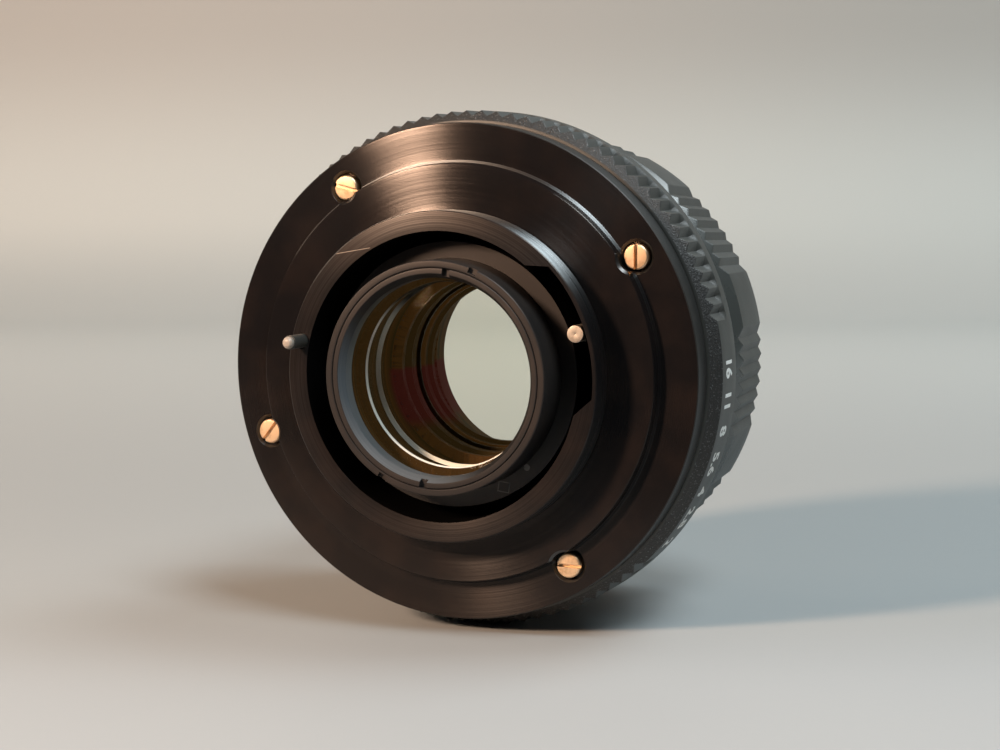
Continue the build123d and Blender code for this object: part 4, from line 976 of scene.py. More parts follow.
@dataclass(frozen=True)
class SweepPaperPaintedLight:
    """Pale paper whose tone, painted light and shade, drifts from left to right, from front to back
    and up the wall.

    Each tone is a pair of colours, for the left and the right side.
    """

    name: str
    front: tuple[Colour, Colour] = ((0.355, 0.388, 0.402), (0.365, 0.408, 0.432))
    near: tuple[Colour, Colour] = ((0.325, 0.345, 0.345), (0.325, 0.365, 0.38))
    far: tuple[Colour, Colour] = ((0.60, 0.62, 0.60), (0.555, 0.59, 0.58))
    low_wall: tuple[Colour, Colour] = ((0.79, 0.79, 0.74), (0.60, 0.65, 0.64))
    high_wall: tuple[Colour, Colour] = ((0.63, 0.59, 0.54), (0.42, 0.435, 0.42))
    side_x: Range = (-0.22, 0.30)
    front_y: Range = (-0.030, 0.012)
    far_y: Range = (0.06, 0.46)
    bend_z: Range = (-0.030, 0.008)
    wall_z: Range = (0.012, 0.10)
    grain: float = 0.06
    grain_scale: float = 900.0
    grain_colour: Colour = (0.5, 0.5, 0.5)
    roughness: float = 0.55
    specular: float = 0.25

    def make(self, turn: float) -> bpy.types.Material:
        """Smooth steps of the place on the sweep, in metres, mix the tones of painted light and
        shade.

        Args:
            turn: The sweep's angle round Z in radians.

        Returns:
            The material.
        """
        d = Desk(self.name)
        source = d.add("ShaderNodeTexCoord")
        square = d.add("ShaderNodeMapping", s_Rotation=(0.0, 0.0, -turn))
        d.join(source.outputs["Object"], square.inputs["Vector"])
        x, y, z = d.split(square.outputs[0])
        # Painted light and shade: cooler on the right and darker there up the wall, darkest on the
        # floor round the lens, lightest low on the wall.
        side = d.ramp(x, *self.side_x)
        front, near, far, low_wall, high_wall = (
            d.mix(side, *pair)
            for pair in (self.front, self.near, self.far, self.low_wall, self.high_wall))
        floor = d.mix(d.ramp(y, *self.front_y), front, near)
        floor = d.mix(d.ramp(y, *self.far_y), floor, far)
        wall = d.mix(d.ramp(z, *self.wall_z), low_wall, high_wall)
        colour = d.mix(d.ramp(z, *self.bend_z), floor, wall)
        grain = d.noise(source.outputs["Object"], self.grain_scale)
        d.feed("Base Color", d.mix(d.times(grain, self.grain), colour, self.grain_colour))
        d.set(Roughness=self.roughness, Specular_IOR_Level=self.specular)
        return d.material


class Shop:
    """Every finish, made once and handed out by name."""

    def __init__(self) -> None:
        """Makes the finishes of the lens."""
        self.plate = TurnedBlack("plate_anodised").make()
        # Painted shade on the collar wall: its gloss is almost gone below z of 3 mm and full from
        # 15 mm up.
        self.collar_wall = TurnedBlack(
            "collar_wall_anodised", roughness=0.43, line_depth=0.03, line_mm=0.35, specular=1.0,
            index=2.1, sheen=(0.9, 0.97, 1.0), painted_shade_z=(3.0, 15.0), shaded_gloss_least=0.06).make()
        self.sink = CastBlack("counterbore_gloss", base=(0.003, 0.003, 0.003), roughness=0.34,
                              specular=1.0, grain_depth=0.001).make()
        self.edge = CastBlack("plate_edge_satin", base=(0.020, 0.020, 0.019), roughness=0.4,
                              specular=0.35).make()
        self.collar_face = TurnedBlack("collar_face_anodised", roughness=0.36, anisotropy=0.7,
                                       specular=0.5, index=1.55, dust=0.16).make()
        self.cone = ConePaintedSheen("ring_cone_painted_sheen").make()
        self.rim = TurnedBlack(
            "cell_rim_anodised", base=(0.023, 0.022, 0.022), wear_and_sheen=(0.032, 0.028, 0.026),
            roughness=0.45, anisotropy=0.3, specular=0.3, index=1.55, dust=0.2).make()
        self.inner = CastBlack("inner_black", base=(0.0012, 0.0012, 0.0013), roughness=0.7,
                               specular=0.05).make()
        self.shoulder = ShoulderPaintedSheen("shoulder_painted_sheen").make()
        self.grip = CastBlack("grip_anodised", base=(0.045, 0.047, 0.043), roughness=0.46).make()
        self.polished_bevel = CastBlack("grip_bevel_polished", base=(0.050, 0.055, 0.052),
                                        roughness=0.27, specular=1.0, grain_depth=0.002).make()
        # The blasted cone's glints are painted into its colour.
        self.rough = CastBlack("bead_blasted_painted_glints", base=(0.018, 0.018, 0.017), grain_mm=0.22,
                               grain_depth=0.13, painted_glint=1.0, roughness=0.5).make()
        self.brass = BareMetal("screw_brass", (0.86, 0.64, 0.42), (0.56, 0.38, 0.22), 0.44,
                               Marks.STRAIGHT).make()
        self.steel = BareMetal("pin_steel", (0.58, 0.53, 0.46), (0.36, 0.32, 0.27), 0.48).make()
        self.bare = BareMetal("bare_aluminium_turned", (0.80, 0.80, 0.80), (0.45, 0.45, 0.46),
                              0.28).make()
        self.blued = BareMetal("blade_steel", (0.09, 0.07, 0.04), (0.05, 0.04, 0.02), 0.4,
                               Marks.STRAIGHT).make()
        self.wall = CellWallPaintedReflection("cell_wall_painted_reflection").make()
        self.ground = GroundBevel("bevel_ground_painted_shade").make()
        self.glass = CoatedGlass("rear_glass_coated").make()
        self.inner_glass = CoatedGlass("inner_glass_coated", mirror=0.001, edge_mirror=0.01,
                                       tint=(0.997, 0.997, 0.980)).make()
        self.white = Paint("number_white", (0.78, 0.80, 0.78)).make()
        # Painted reflection: the stop pin's steel tip is a flat pale paint that stands in for its
        # bright reflection.
        self.tip = Paint("pin_tip_painted_reflection", (0.40, 0.36, 0.31), 0.35).make()
        self.scratched = Paint("scratch_bare", (0.40, 0.34, 0.28)).make()
        self.grey = Paint("mark_grey", (0.14, 0.135, 0.13)).make()


# ---------------------------------------------------------------- sub-assemblies


class Screw(NamedTuple):
    """Where a mount screw is on its circle and how its slot lies, in degrees."""

    angle_deg: float
    slot_deg: float


SCREWS = (Screw(32.6, 90.0), Screw(123.4, -14.0), Screw(-162.2, 52.0), Screw(-57.6, -2.0))
SCREW_CIRCLE = 26.6
# Radius of each pin's place and its angle in degrees.
STOP_PIN = (18.35, 167.9)
COUPLING_PIN = (17.5, 18.4)


class PlateSlot(IntEnum):
    """Material slots of the mount plate."""

    FLAT = 0
    WALL = 1
    BORE = 2
    SINK = 3
    COLLAR = 4
    RIM = 5


def settle(piece: bpy.types.Object, finish: bpy.types.Material, body: str,
           stands_for: Sequence[str] = ()) -> bpy.types.Object:
    """Gives a piece its finish, puts it on its body, hides the CAD nodes that it replaces, and logs
    it.

    Args:
        piece: The piece.
        finish: Its material.
        body: The body that it rides on.
        stands_for: CAD nodes that it replaces.

    Returns:
        The same piece.
    """
    piece.data.materials.clear()
    piece.data.materials.append(finish)
    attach(piece, body)
    if stands_for:
        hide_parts(*stands_for)
    LOG.info("%s rides on %s", piece.name, body)
    return piece


def second_finish(piece: bpy.types.Object, finish: bpy.types.Material, chosen: Points) -> None:
    """Adds a finish to a piece and gives it to the faces that are chosen."""
    piece.data.materials.append(finish)
    piece.data.polygons.foreach_set("material_index", chosen.astype(np.int32))


@dataclass
class MountPlate:
    """Flange, raised inner plate and collar, turned from one piece, with its four screws.

    step is the plateau's edge, as (radius from plateau_r, height) of its corners.
    """

    plate_r: float = 30.0
    plate_front: float = 3.4
    plate_chamfer: float = 0.12
    plateau_r: float = 25.5
    plateau_y: float = -1.6
    step: Section = ((-0.45, -1.6), (-0.35, -1.5), (-0.22, -0.4), (0.05, 0.0))
    collar_r: float = 19.67
    collar_y: float = -6.06
    collar_chamfer: float = 0.15
    groove_y: Range = (-3.95, -3.35)
    groove_depth: float = 0.15
    relief_y: float = -2.1
    relief_depth: float = 0.25
    slant: float = 0.1
    bore_r: float = 17.25
    corner_r: float = EDGE
    longest: float = 1.6
    columns: int = 540
    recess_r: float = 19.15
    recess_outer_deg: Range = (-5.6, 44.0)
    recess_inner_deg: Range = (56.0, -18.0)
    recess_inward: float = 1.0
    recess_points: int = 60
    guide_r: float = 0.95
    through_y: Range = (-9.0, 5.0)
    counterbore_r: float = 1.8
    counterbore_y: float = 1.0
    edge_break: float = 0.3
    sink_from: float = -3.0
    head_r: float = 1.5
    head_y: float = -0.35
    head_chamfer: float = 0.15
    shank_r: float = 0.8
    shank_y: float = 7.4
    slot_size: Range = (4.0, 0.42)
    slot_depth: float = 0.55
    small_columns: int = 64
    scratch_ends: Section = ((19.5, 132.4), (17.5, 120.0))
    scratch_half: float = 0.03
    scratch_lift: float = 0.004

    def outline(self) -> Points:
        """Half section of the plate, with the collar's groove and relief.

        Returns:
            Points as (radius, height).
        """
        b, c, p, y = self.bore_r, self.collar_r, self.plate_r, self.collar_y
        groove, relief = c - self.groove_depth, c - self.relief_depth
        rear, front = self.groove_y
        corners = [
            (b, y), (c - self.collar_chamfer, y), (c, y + self.collar_chamfer),
            (c, rear), (groove, rear + self.slant), (groove, front - self.slant), (c, front),
            (c, self.relief_y), (relief, self.relief_y + self.slant), (relief, self.plateau_y),
            *((self.plateau_r + out, height) for out, height in self.step),
            (p - self.plate_chamfer, 0.0), (p, self.plate_chamfer),
            (p, self.plate_front), (b, self.plate_front)]
        return subdivide(soften(corners, self.corner_r), self.longest)

    def recess(self) -> Points:
        """Outline of the recess that the coupling pin sweeps, with two slanted ends.

        Returns:
            Points as (x, z).
        """
        arc = np.linspace(*self.recess_outer_deg, self.recess_points)
        back = np.linspace(*self.recess_inner_deg, self.recess_points)
        outer = np.array([polar(self.recess_r, a) for a in arc])
        inner = np.array([polar(self.bore_r - self.recess_inward, a) for a in back])
        return np.concatenate([outer, inner])

    def counterbore(self, angle_deg: float) -> bpy.types.Object:
        """Cutter for one screw's hole, with its edges broken.

        Args:
            angle_deg: The screw's angle.

        Returns:
            The cutter.
        """
        r, e, y, deep = self.counterbore_r, self.edge_break, self.plateau_y, self.counterbore_y
        section = np.array([
            (AXIS_R, self.sink_from), (r + e, self.sink_from), (r + e, y), (r, y + e), (r, -e),
            (r + e, 0.0), (r, e), (r, deep), (AXIS_R, deep)])
        return shift(turned("cutter", section, self.small_columns), *polar(SCREW_CIRCLE, angle_deg))

    def build(self, shop: Shop) -> None:
        """Makes the plate and carves its recess, pin guide and counterbores.

        Args:
            shop: The finishes.
        """
        plate = turned("mount_plate_turned", self.outline(), self.columns)
        sinks = [self.counterbore(screw.angle_deg) for screw in SCREWS]
        guide = prism(circle(*polar(*STOP_PIN), self.guide_r), *self.through_y)
        carve(plate, [*sinks, guide])
        carve(plate, [slab(self.recess(), *self.through_y)])
        settle(plate, shop.plate, "barrel", ["mount_plate"])
        for finish in (shop.collar_wall, shop.inner, shop.sink, shop.collar_face, shop.edge):
            plate.data.materials.append(finish)
        self.mark_walls(plate)
        self.scratch(shop)
        self.screws(shop)

    def scratch(self, shop: Shop) -> None:
        """A fine bright scratch across the collar's face, a flat sliver between two points.

        Args:
            shop: The finishes.
        """
        start, end = (np.array(polar(*place)) for place in self.scratch_ends)
        way = end - start
        side = way[::-1] * np.array([-1.0, 1.0]) / np.linalg.norm(way) * self.scratch_half
        flat = np.stack([start - side, start + side, end + side, end - side])
        height = np.full(4, self.collar_y - self.scratch_lift)
        points = np.stack([flat[:, 0], height, flat[:, 1]], -1)
        quad = np.array([[0, 1, 2, 3]])
        mark = mesh_object("collar_scratch", points, quad, recalculate=False)
        settle(mark, shop.scratched, "barrel")

    def mark_walls(self, plate: bpy.types.Object) -> None:
        """Gives the outer walls, the bore, the counterbores and the collar's face their slots.

        Args:
            plate: The carved plate.
        """
        centres, normals, radius = face_table(plate.data)
        height, facing = centres[:, 1], normals[:, 1]
        across = normals[:, 0] * centres[:, 0] + normals[:, 2] * centres[:, 2]
        outward = across / np.maximum(radius, 1e-6)
        outside, inside = outward > 0.5, outward < -0.3
        on_step = (np.abs(radius - self.plateau_r) < 0.6) & (height < -0.45)
        slot = np.full(len(radius), int(PlateSlot.FLAT), np.int32)
        slot[outside & (radius > self.collar_r - 0.5)] = PlateSlot.WALL
        hollow = inside | (height > self.collar_y + 0.3)
        slot[hollow & (radius < self.collar_r - 0.3)] = PlateSlot.BORE
        slot[outside & (radius > self.plate_r - 0.2)] = PlateSlot.RIM
        slot[on_step] = PlateSlot.FLAT
        for screw in SCREWS:
            x, z = polar(SCREW_CIRCLE, screw.angle_deg)
            near = np.hypot(centres[:, 0] - x, centres[:, 2] - z) < self.counterbore_r + 0.35
            slot[near & (np.abs(facing) < 0.9)] = PlateSlot.SINK
        slot[(height < self.collar_y + 0.1) & (facing < -0.7)] = PlateSlot.COLLAR
        plate.data.polygons.foreach_set("material_index", slot)

    def screws(self, shop: Shop) -> None:
        """Four cheese-head screws with a straight slot and a chamfered edge.

        Args:
            shop: The finishes.
        """
        r, y, c = self.head_r, self.head_y, self.head_chamfer
        section = soften([
            (AXIS_R, y), (r - c, y), (r, y + c), (r, self.counterbore_y),
            (self.shank_r, self.counterbore_y), (self.shank_r, self.shank_y),
            (AXIS_R, self.shank_y)], FINE_EDGE)
        heads = []
        for screw in SCREWS:
            head = turned("screw", section, self.small_columns)
            slot = prism(bar(0.0, 0.0, *self.slot_size, screw.slot_deg), y - 1.0,
                         y + self.slot_depth)
            heads.append(shift(carve(head, [slot]), *polar(SCREW_CIRCLE, screw.angle_deg)))
        merged = merge("mount_screws_slotted", heads)
        settle(merged, shop.brass, "barrel", ["mount_screws"])


@dataclass
class FlutedRing:
    """Turned ring whose outside has V grooves along the axis.

    The outer radius at an angle and height is the smaller of the plain section's radius and
    tip(height) - depth * t(angle) * w(height): tip is a line that falls by a slope in front of
    tip_y, t a triangle wave, 1 at a groove's root and 0 on its edges, and w falls from 1 to 0
    over the run-out. The section is divided finely only where it is slanted and grooved, since
    the grooves are straight along the axis elsewhere.
    """

    name: str
    corners: Section
    tip_r: float
    depth: float
    roots_deg: Points
    half_deg: float
    step_deg: float
    start_deg: float
    full_y: float
    end_y: float
    tip_y: float = 0.0
    slope: float = 0.0
    slanted: float = 0.2
    grooved_depth: float = 1.6
    fine_step: float = 0.25
    coarse_step: float = 3.0
    sharp_deg: float = 22.0

    def section(self) -> Points:
        """The plain section, divided.

        Returns:
            Points as (radius, height).
        """
        outline = soften(self.corners, FINE_EDGE, 2)
        ahead = np.roll(outline, -1, axis=0)
        length = np.linalg.norm(ahead - outline, axis=1)
        slanted = np.abs(ahead[:, 0] - outline[:, 0]) > self.slanted * length
        outside = np.minimum(ahead[:, 0], outline[:, 0]) > self.tip_r - self.grooved_depth
        return subdivide(outline, np.where(slanted & outside, self.fine_step, self.coarse_step))

    def build(self) -> bpy.types.Object:
        """Grid of the angle and the section's arc length.

        Returns:
            The linked ring.
        """
        outline = self.section()
        plain, height = outline[:, 0], outline[:, 1]
        degrees = self.start_deg + np.arange(0.0, 360.0 - 1e-9, self.step_deg)
        apart = (degrees[:, None] - self.roots_deg[None, :] + 180.0) % 360.0 - 180.0
        wave = np.clip(1.0 - np.abs(apart).min(axis=1) / self.half_deg, 0.0, 1.0)
        run_out = max(self.end_y - self.full_y, 1e-6)
        fall = np.clip((self.end_y - height) / run_out, 0.0, 1.0)
        tip = self.tip_r - self.slope * (height - self.tip_y)
        limit = tip - self.depth * wave[:, None] * fall[None, :]
        radius = np.minimum(np.broadcast_to(plain, limit.shape), limit)
        return revolved(self.name, radius, height, np.radians(degrees), self.sharp_deg)


@dataclass
class ApertureRing:
    """Stop ring with V grooves, a blasted rear cone and its number scale."""

    tip_r: float = 31.58
    inner_r: float = 29.28
    lip_r: float = 30.1
    cone_r: float = 30.35
    lip_rise: float = 0.07
    cone_length: float = 1.32
    chamfer: float = 0.15
    rear_y: float = 3.55
    front_y: float = 10.95
    grooves: int = 84
    pitch_deg: float = 3.6
    first_deg: float = 14.1
    groove_depth: float = 0.65
    half_share: float = 0.475
    full_y: float = 8.3
    end_y: float = 8.95
    scale: tuple[tuple[str, float], ...] = (
        ("16", 2.0), ("11", -5.2), ("8", -11.9), ("5.6", -19.4), ("4", -26.1), ("2.8", -33.0),
        ("2", -40.0))
    digit_low: float = 6.3
    digit_high: float = 8.95
    digit_narrow: float = 0.76
    digit_bold: float = 0.035
    digit_steps: int = 4
    number_sink: float = 0.015

    def build(self, shop: Shop) -> None:
        """Makes the ring, its rough rear cone and the scale.

        Args:
            shop: The finishes.
        """
        t, y, front, c = self.tip_r - self.number_sink, self.rear_y, self.front_y, self.chamfer
        corners = ((self.inner_r, y), (self.lip_r, y), (self.cone_r, y + self.lip_rise),
                   (t, y + self.cone_length), (t, self.full_y), (t, self.end_y), (t, front - c),
                   (t - c, front), (self.inner_r, front))
        roots = self.first_deg + self.pitch_deg * np.arange(self.grooves)
        ring = FlutedRing("aperture_ring_fluted", corners, t, self.groove_depth, roots,
                          self.half_share * self.pitch_deg, self.pitch_deg / 10, self.first_deg,
                          self.full_y, self.end_y).build()
        settle(ring, shop.grip, "aperture", ["aperture_ring"])
        centres, normals, radius = face_table(ring.data)
        cone = (normals[:, 1] < -0.45) & (radius > self.cone_r + 0.01) & (centres[:, 1] < 5.0)
        second_finish(ring, shop.rough, cone)
        for text, angle in self.scale:
            self.number(shop, text, angle)

    def number(self, shop: Shop, text: str, angle_deg: float) -> None:
        """A number bent round the ring: its height runs along the axis, its width round it.

        Args:
            shop: The finishes.
            text: The number.
            angle_deg: Angle of its middle.
        """
        curve = bpy.data.curves.new("number", "FONT")
        curve.body, curve.size, curve.offset = text, 1.0, self.digit_bold
        curve.align_x = "CENTER"
        curve.resolution_u = self.digit_steps
        holder = link(bpy.data.objects.new("number", curve))
        bpy.context.view_layer.update()
        graph = bpy.context.evaluated_depsgraph_get()
        mesh = bpy.data.meshes.new_from_object(holder.evaluated_get(graph))
        bpy.data.objects.remove(holder)
        flat = np.empty(len(mesh.vertices) * 3)
        mesh.vertices.foreach_get("co", flat)
        across, up, _ = flat.reshape(-1, 3).T
        bottom = up.min()
        scale = (self.digit_high - self.digit_low) / (up.max() - bottom)
        angle = math.radians(angle_deg) - across * scale * self.digit_narrow / self.tip_r
        height = self.digit_low + (up - bottom) * scale
        bent = np.stack([self.tip_r * np.cos(angle), height, self.tip_r * np.sin(angle)], -1)
        mesh.vertices.foreach_set("co", (bent * MM).ravel())
        mesh.update()
        piece = link(bpy.data.objects.new("number_" + text.replace(".", "_"), mesh))
        settle(piece, shop.white, "aperture")


@dataclass
class FocusRing:
    """Tapered focusing ring with groups of grooves between smooth lands.

    The grooves end beyond the ring, at grooves_to, and so are open at its front edge.
    """

    tip_r: float = 29.79
    rear_y: float = 18.0
    front_y: float = 32.84
    bevel: float = 1.5
    bevel_length: float = 4.2
    taper: float = 0.57
    inner_r: float = 28.02
    lip_r: float = 27.5
    lip_length: float = 0.2
    groups: int = 9
    grooves: int = 7
    pitch_deg: float = 3.6
    first_deg: float = 25.1
    half_deg: float = 2.475
    step_deg: float = 0.2
    depth: float = 0.55
    grooves_to: Range = (40.0, 41.0)

    def build(self, shop: Shop) -> None:
        """Makes the grip and its polished bevel.

        Args:
            shop: The finishes.
        """
        land_y = self.rear_y + self.bevel_length
        slope = self.taper / (self.front_y - land_y)
        lip_y = self.rear_y + self.lip_length
        corners = ((self.lip_r, self.rear_y), (self.tip_r - self.bevel, self.rear_y),
                   (self.tip_r, land_y), (self.tip_r - self.taper, self.front_y),
                   (self.inner_r, self.front_y), (self.inner_r, lip_y), (self.lip_r, lip_y))
        group = 360.0 / self.groups * np.arange(self.groups)[:, None]
        roots = (self.first_deg + group + self.pitch_deg * np.arange(self.grooves)[None]).ravel()
        ring = FlutedRing("focus_grip_fluted", corners, self.tip_r, self.depth, roots,
                          self.half_deg, self.step_deg, self.first_deg, *self.grooves_to, land_y,
                          slope).build()
        settle(ring, shop.grip, "focus", ["focus_grip"])
        centres, normals, _ = face_table(ring.data)
        bevel = (normals[:, 1] < -0.2) & (normals[:, 1] > -0.5) & (centres[:, 1] < land_y)
        second_finish(ring, shop.polished_bevel, bevel)


@dataclass
class Pins:
    """Stop-down pin and coupling pin, both with rounded bright ends."""

    stop_body: Section = ((AXIS_R, -9.2), (0.85, -9.2), (0.85, 3.0), (0.5, 3.0), (0.5, 7.75),
                          (AXIS_R, 7.75))
    stop_tip: Section = ((AXIS_R, -10.0), (0.42, -9.93), (0.7, -9.6), (0.7, -9.15),
                         (AXIS_R, -9.15))
    coupling: Section = ((AXIS_R, -4.8), (1.0, -4.8), (1.025, -4.6), (1.025, 3.55), (0.6, 3.55),
                         (0.6, 4.75), (AXIS_R, 4.75))
    columns: int = 48

    def build(self, shop: Shop) -> None:
        """Turns both pins and moves them to their own axes.

        Args:
            shop: The finishes.
        """
        for name, section, corner, place, finish, body, nodes in (
            ("stop_pin_body", self.stop_body, EDGE, STOP_PIN, shop.grip, "stop_pin",
             ["stop_pin"]),
            ("stop_pin_tip", self.stop_tip, 0.12, STOP_PIN, shop.tip, "stop_pin", []),
            ("coupling_pin_turned", self.coupling, 0.1, COUPLING_PIN, shop.steel, "aperture",
             ["coupling_pin"]),
        ):
            piece = shift(turned(name, soften(section, corner), self.columns), *polar(*place))
            settle(piece, finish, body, nodes)


@dataclass(frozen=True)
class Element:
    """A piece of glass with two spherical faces.

    Each face is (height at the rim, height at the centre, clear radius).
    """

    name: str
    rim: float
    rear: tuple[float, float, float]
    front: tuple[float, float, float]
    stands_for: tuple[str, ...]

    @staticmethod
    def face(height: float, centre: float, clear: float) -> Points:
        """Half section of a face, on the sphere of radius s through its centre and its rim.

        At a radius q the face lies s - sqrt(s^2 - q^2) from its centre's height.

        Args:
            height: Height at the rim.
            centre: Height at the centre.
            clear: Radius of the rim.

        Returns:
            Points as (radius, height).
        """
        q = np.linspace(0.0, clear, FACE_STEPS)
        sag = height - centre
        sphere = (clear**2 + sag**2) / (2 * abs(sag))
        drop = sphere - np.sqrt(sphere**2 - q**2)
        return np.stack([q, centre + math.copysign(1.0, sag) * drop], -1)

    def build(self, finish: bpy.types.Material) -> None:
        """Turns the glass.

        Args:
            finish: Its material.
        """
        edge = [[self.rim, self.rear[0]], [self.rim, self.front[0]]]
        outline = np.concatenate([self.face(*self.rear), edge, self.face(*self.front)[::-1]])
        glass = turned(self.name, outline, GLASS_COLUMNS)
        settle(glass, finish, "lens_block", self.stands_for)


@dataclass
class RearOptics:
    """Rear cell, its slotted ring, the glass, and the marks on the barrel's shoulder."""

    cell_r: float = 13.9
    ring_r: float = 13.0
    face_y: float = -7.7
    seat_y: float = -5.9
    glass_y: float = -4.9
    opening_r: float = 11.8
    opening_y: float = -6.6
    ring_lip_r: float = 12.35
    ring_seat_r: float = 12.5
    wall_r: float = 12.55
    painted_reflection_r: float = 12.8
    floor_r: float = 11.2
    floor_y: Range = (8.6, 9.5)
    gap: float = 0.05
    chamfer: float = 0.12
    ring_chamfer: float = 0.1
    cell_slots_deg: Range = (68.4, 241.0)
    cell_slot_size: Range = (1.3, 1.1)
    cell_slot_depth: float = 0.55
    ring_slots_deg: Range = (82.6, 264.0)
    ring_slot_r: float = 12.2
    ring_slot_size: Range = (1.6, 0.9)
    ring_slot_depth: float = 0.6
    rear_glass: Element = Element(
        "rear_glass", 12.5, (-4.9, -6.9, 11.8), (-2.2, -1.8, 11.2), ("rear_element",))
    doublets: tuple[Element, ...] = (
        Element("rear_doublet", 12.5, (-0.9, -1.4, 11.2), (8.6, 6.2, 11.2),
                ("fifth_element", "fourth_element")),
        Element("front_doublet", 13.0, (16.4, 16.1, 10.05), (22.0, 25.6, 12.0),
                ("third_element", "second_element")))
    front_glass: Element = Element(
        "front_glass", 14.7, (24.6, 26.2, 12.9), (26.8, 30.4, 14.0), ("front_element",))
    bevels: tuple[tuple[str, float, float, float], ...] = (
        ("rear_bevel_ring", 11.12, -1.95, 0.14), ("middle_bevel_ring", 11.40, 2.4, 0.47))
    bevel_rise: float = 0.2
    mark_y: float = -2.012
    square_place: Range = (14.8, -63.0)
    square_size: Range = (1.5, 1.3)
    square_line: float = 0.12
    square_turn_deg: float = -8.0
    dot_place: Range = (14.4, -48.0)
    dot_r: float = 0.4

    def build(self, shop: Shop) -> None:
        """Makes the turned parts, then the glass.

        Args:
            shop: The finishes.
        """
        self.cell(shop)
        self.ring(shop)
        self.rear_glass.build(shop.glass)
        for doublet in self.doublets:
            doublet.build(shop.inner_glass)
        rise = self.bevel_rise
        for name, r, y, wide in self.bevels:
            section = np.array([(r, y), (r + wide, y - rise), (r + wide, y), (r, y + rise)])
            bevel = turned(name, section, GLASS_COLUMNS)
            settle(bevel, shop.ground, "lens_block")
        self.front_glass.build(shop.inner_glass)
        self.marks(shop)

    def slots(self, radius: float, angles: Sequence[float], size: Range,
              depth: float) -> list[bpy.types.Object]:
        """Cutters for the slots of a spanner in the rear face.

        Args:
            radius: Radius of the slots' middles.
            angles: Their angles in degrees.
            size: Their length along the radius and their width.
            depth: Their depth.

        Returns:
            The cutters.
        """
        y = self.face_y
        return [prism(bar(*polar(radius, a), *size, a), y - 1, y + depth) for a in angles]

    def cell(self, shop: Shop) -> None:
        """Makes the cell, with painted coating reflections and painted glow inside.

        Args:
            shop: The finishes.
        """
        y, c, r, e = self.face_y, self.cell_r, self.ring_r + self.gap, self.ring_chamfer
        rear, front = self.floor_y
        outline = soften([
            (r, y + e), (r + e, y), (c - self.chamfer, y), (c, y + self.chamfer), (c, front),
            (self.floor_r, front), (self.floor_r, rear), (self.wall_r, rear),
            (self.wall_r, self.seat_y), (r, self.seat_y)], FINE_EDGE)
        cell = turned("rear_cell_turned", subdivide(outline, 2.0))
        cutters = self.slots(c, self.cell_slots_deg, self.cell_slot_size, self.cell_slot_depth)
        settle(carve(cell, cutters), shop.rim, "lens_block", ["rear_cell"])
        centres, _, radius = face_table(cell.data)
        second_finish(cell, shop.wall, (radius < self.painted_reflection_r) & (centres[:, 1] > self.seat_y))

    def ring(self, shop: Shop) -> None:
        """Makes the slotted ring that holds the rear glass, with a painted sheen on its inner cone.

        Args:
            shop: The finishes.
        """
        y, r, c, seat = self.face_y, self.ring_r, self.ring_chamfer, self.ring_seat_r
        outline = soften([
            (self.ring_lip_r, y), (r - c, y), (r, y + c), (r, self.seat_y), (seat, self.seat_y),
            (seat, self.glass_y), (self.opening_r, self.glass_y),
            (self.opening_r, self.opening_y)], FINE_EDGE)
        ring = turned("rear_ring_turned", outline)
        cutters = self.slots(self.ring_slot_r, self.ring_slots_deg, self.ring_slot_size,
                             self.ring_slot_depth)
        settle(carve(ring, cutters), shop.rim, "lens_block", ["rear_retaining_ring"])
        centres, _, radius = face_table(ring.data)
        inside = (radius < self.ring_lip_r - 0.01) & (centres[:, 1] > y + 0.05)
        second_finish(ring, shop.cone, inside)

    def marks(self, shop: Shop) -> None:
        """An engraved square and a dot on the barrel's shoulder.

        Args:
            shop: The finishes.
        """
        place, turn = polar(*self.square_place), self.square_turn_deg
        outer = bar(*place, *self.square_size, turn)
        inner = bar(*place, *(side - 2 * self.square_line for side in self.square_size), turn)
        place = polar(*self.dot_place)
        rim = circle(*place, self.dot_r, 24)
        for name, loops in (("shoulder_square", (outer, inner)),
                            ("shoulder_dot", (rim, np.broadcast_to(np.array(place), rim.shape)))):
            mark = flat_strip(name, np.stack(loops), self.mark_y)
            settle(mark, shop.grey, "lens_block")


@dataclass
class FrontEnd:
    """Bezel, conical ring and index ring, smooth from every side."""

    bezel: Section = (
        (24.5, 32.84), (25.35, 32.84), (25.35, 33.64), (27.22, 33.64), (27.22, 36.7),
        (26.92, 37.0), (24.4, 37.0), (24.1, 36.7), (24.1, 34.64), (24.5, 34.64))
    cone: Section = (
        (15.3, 30.04), (16.3, 30.04), (23.4, 31.84), (24.75, 31.84), (24.75, 32.84),
        (23.6, 32.84), (15.3, 30.54))
    index: Section = (
        (26.32, 11.01), (29.2, 11.01), (29.2, 11.11), (30.6, 11.11), (30.6, 13.51),
        (29.3, 17.8), (26.32, 17.8))

    def build(self, shop: Shop) -> None:
        """Makes each turned ring.

        Args:
            shop: The finishes.
        """
        for name, section, corner, longest, finish, body, node in (
            ("front_bezel_turned", self.bezel, EDGE, 1.5, shop.grip, "lens_block", "front_bezel"),
            ("front_cone_turned", self.cone, FINE_EDGE, 1.0, shop.plate, "lens_block",
             "front_cone_ring"),
            ("index_ring_turned", self.index, EDGE, 1.0, shop.inner, "barrel", "index_ring"),
        ):
            ring = turned(name, subdivide(soften(section, corner), longest))
            settle(ring, finish, body, [node])


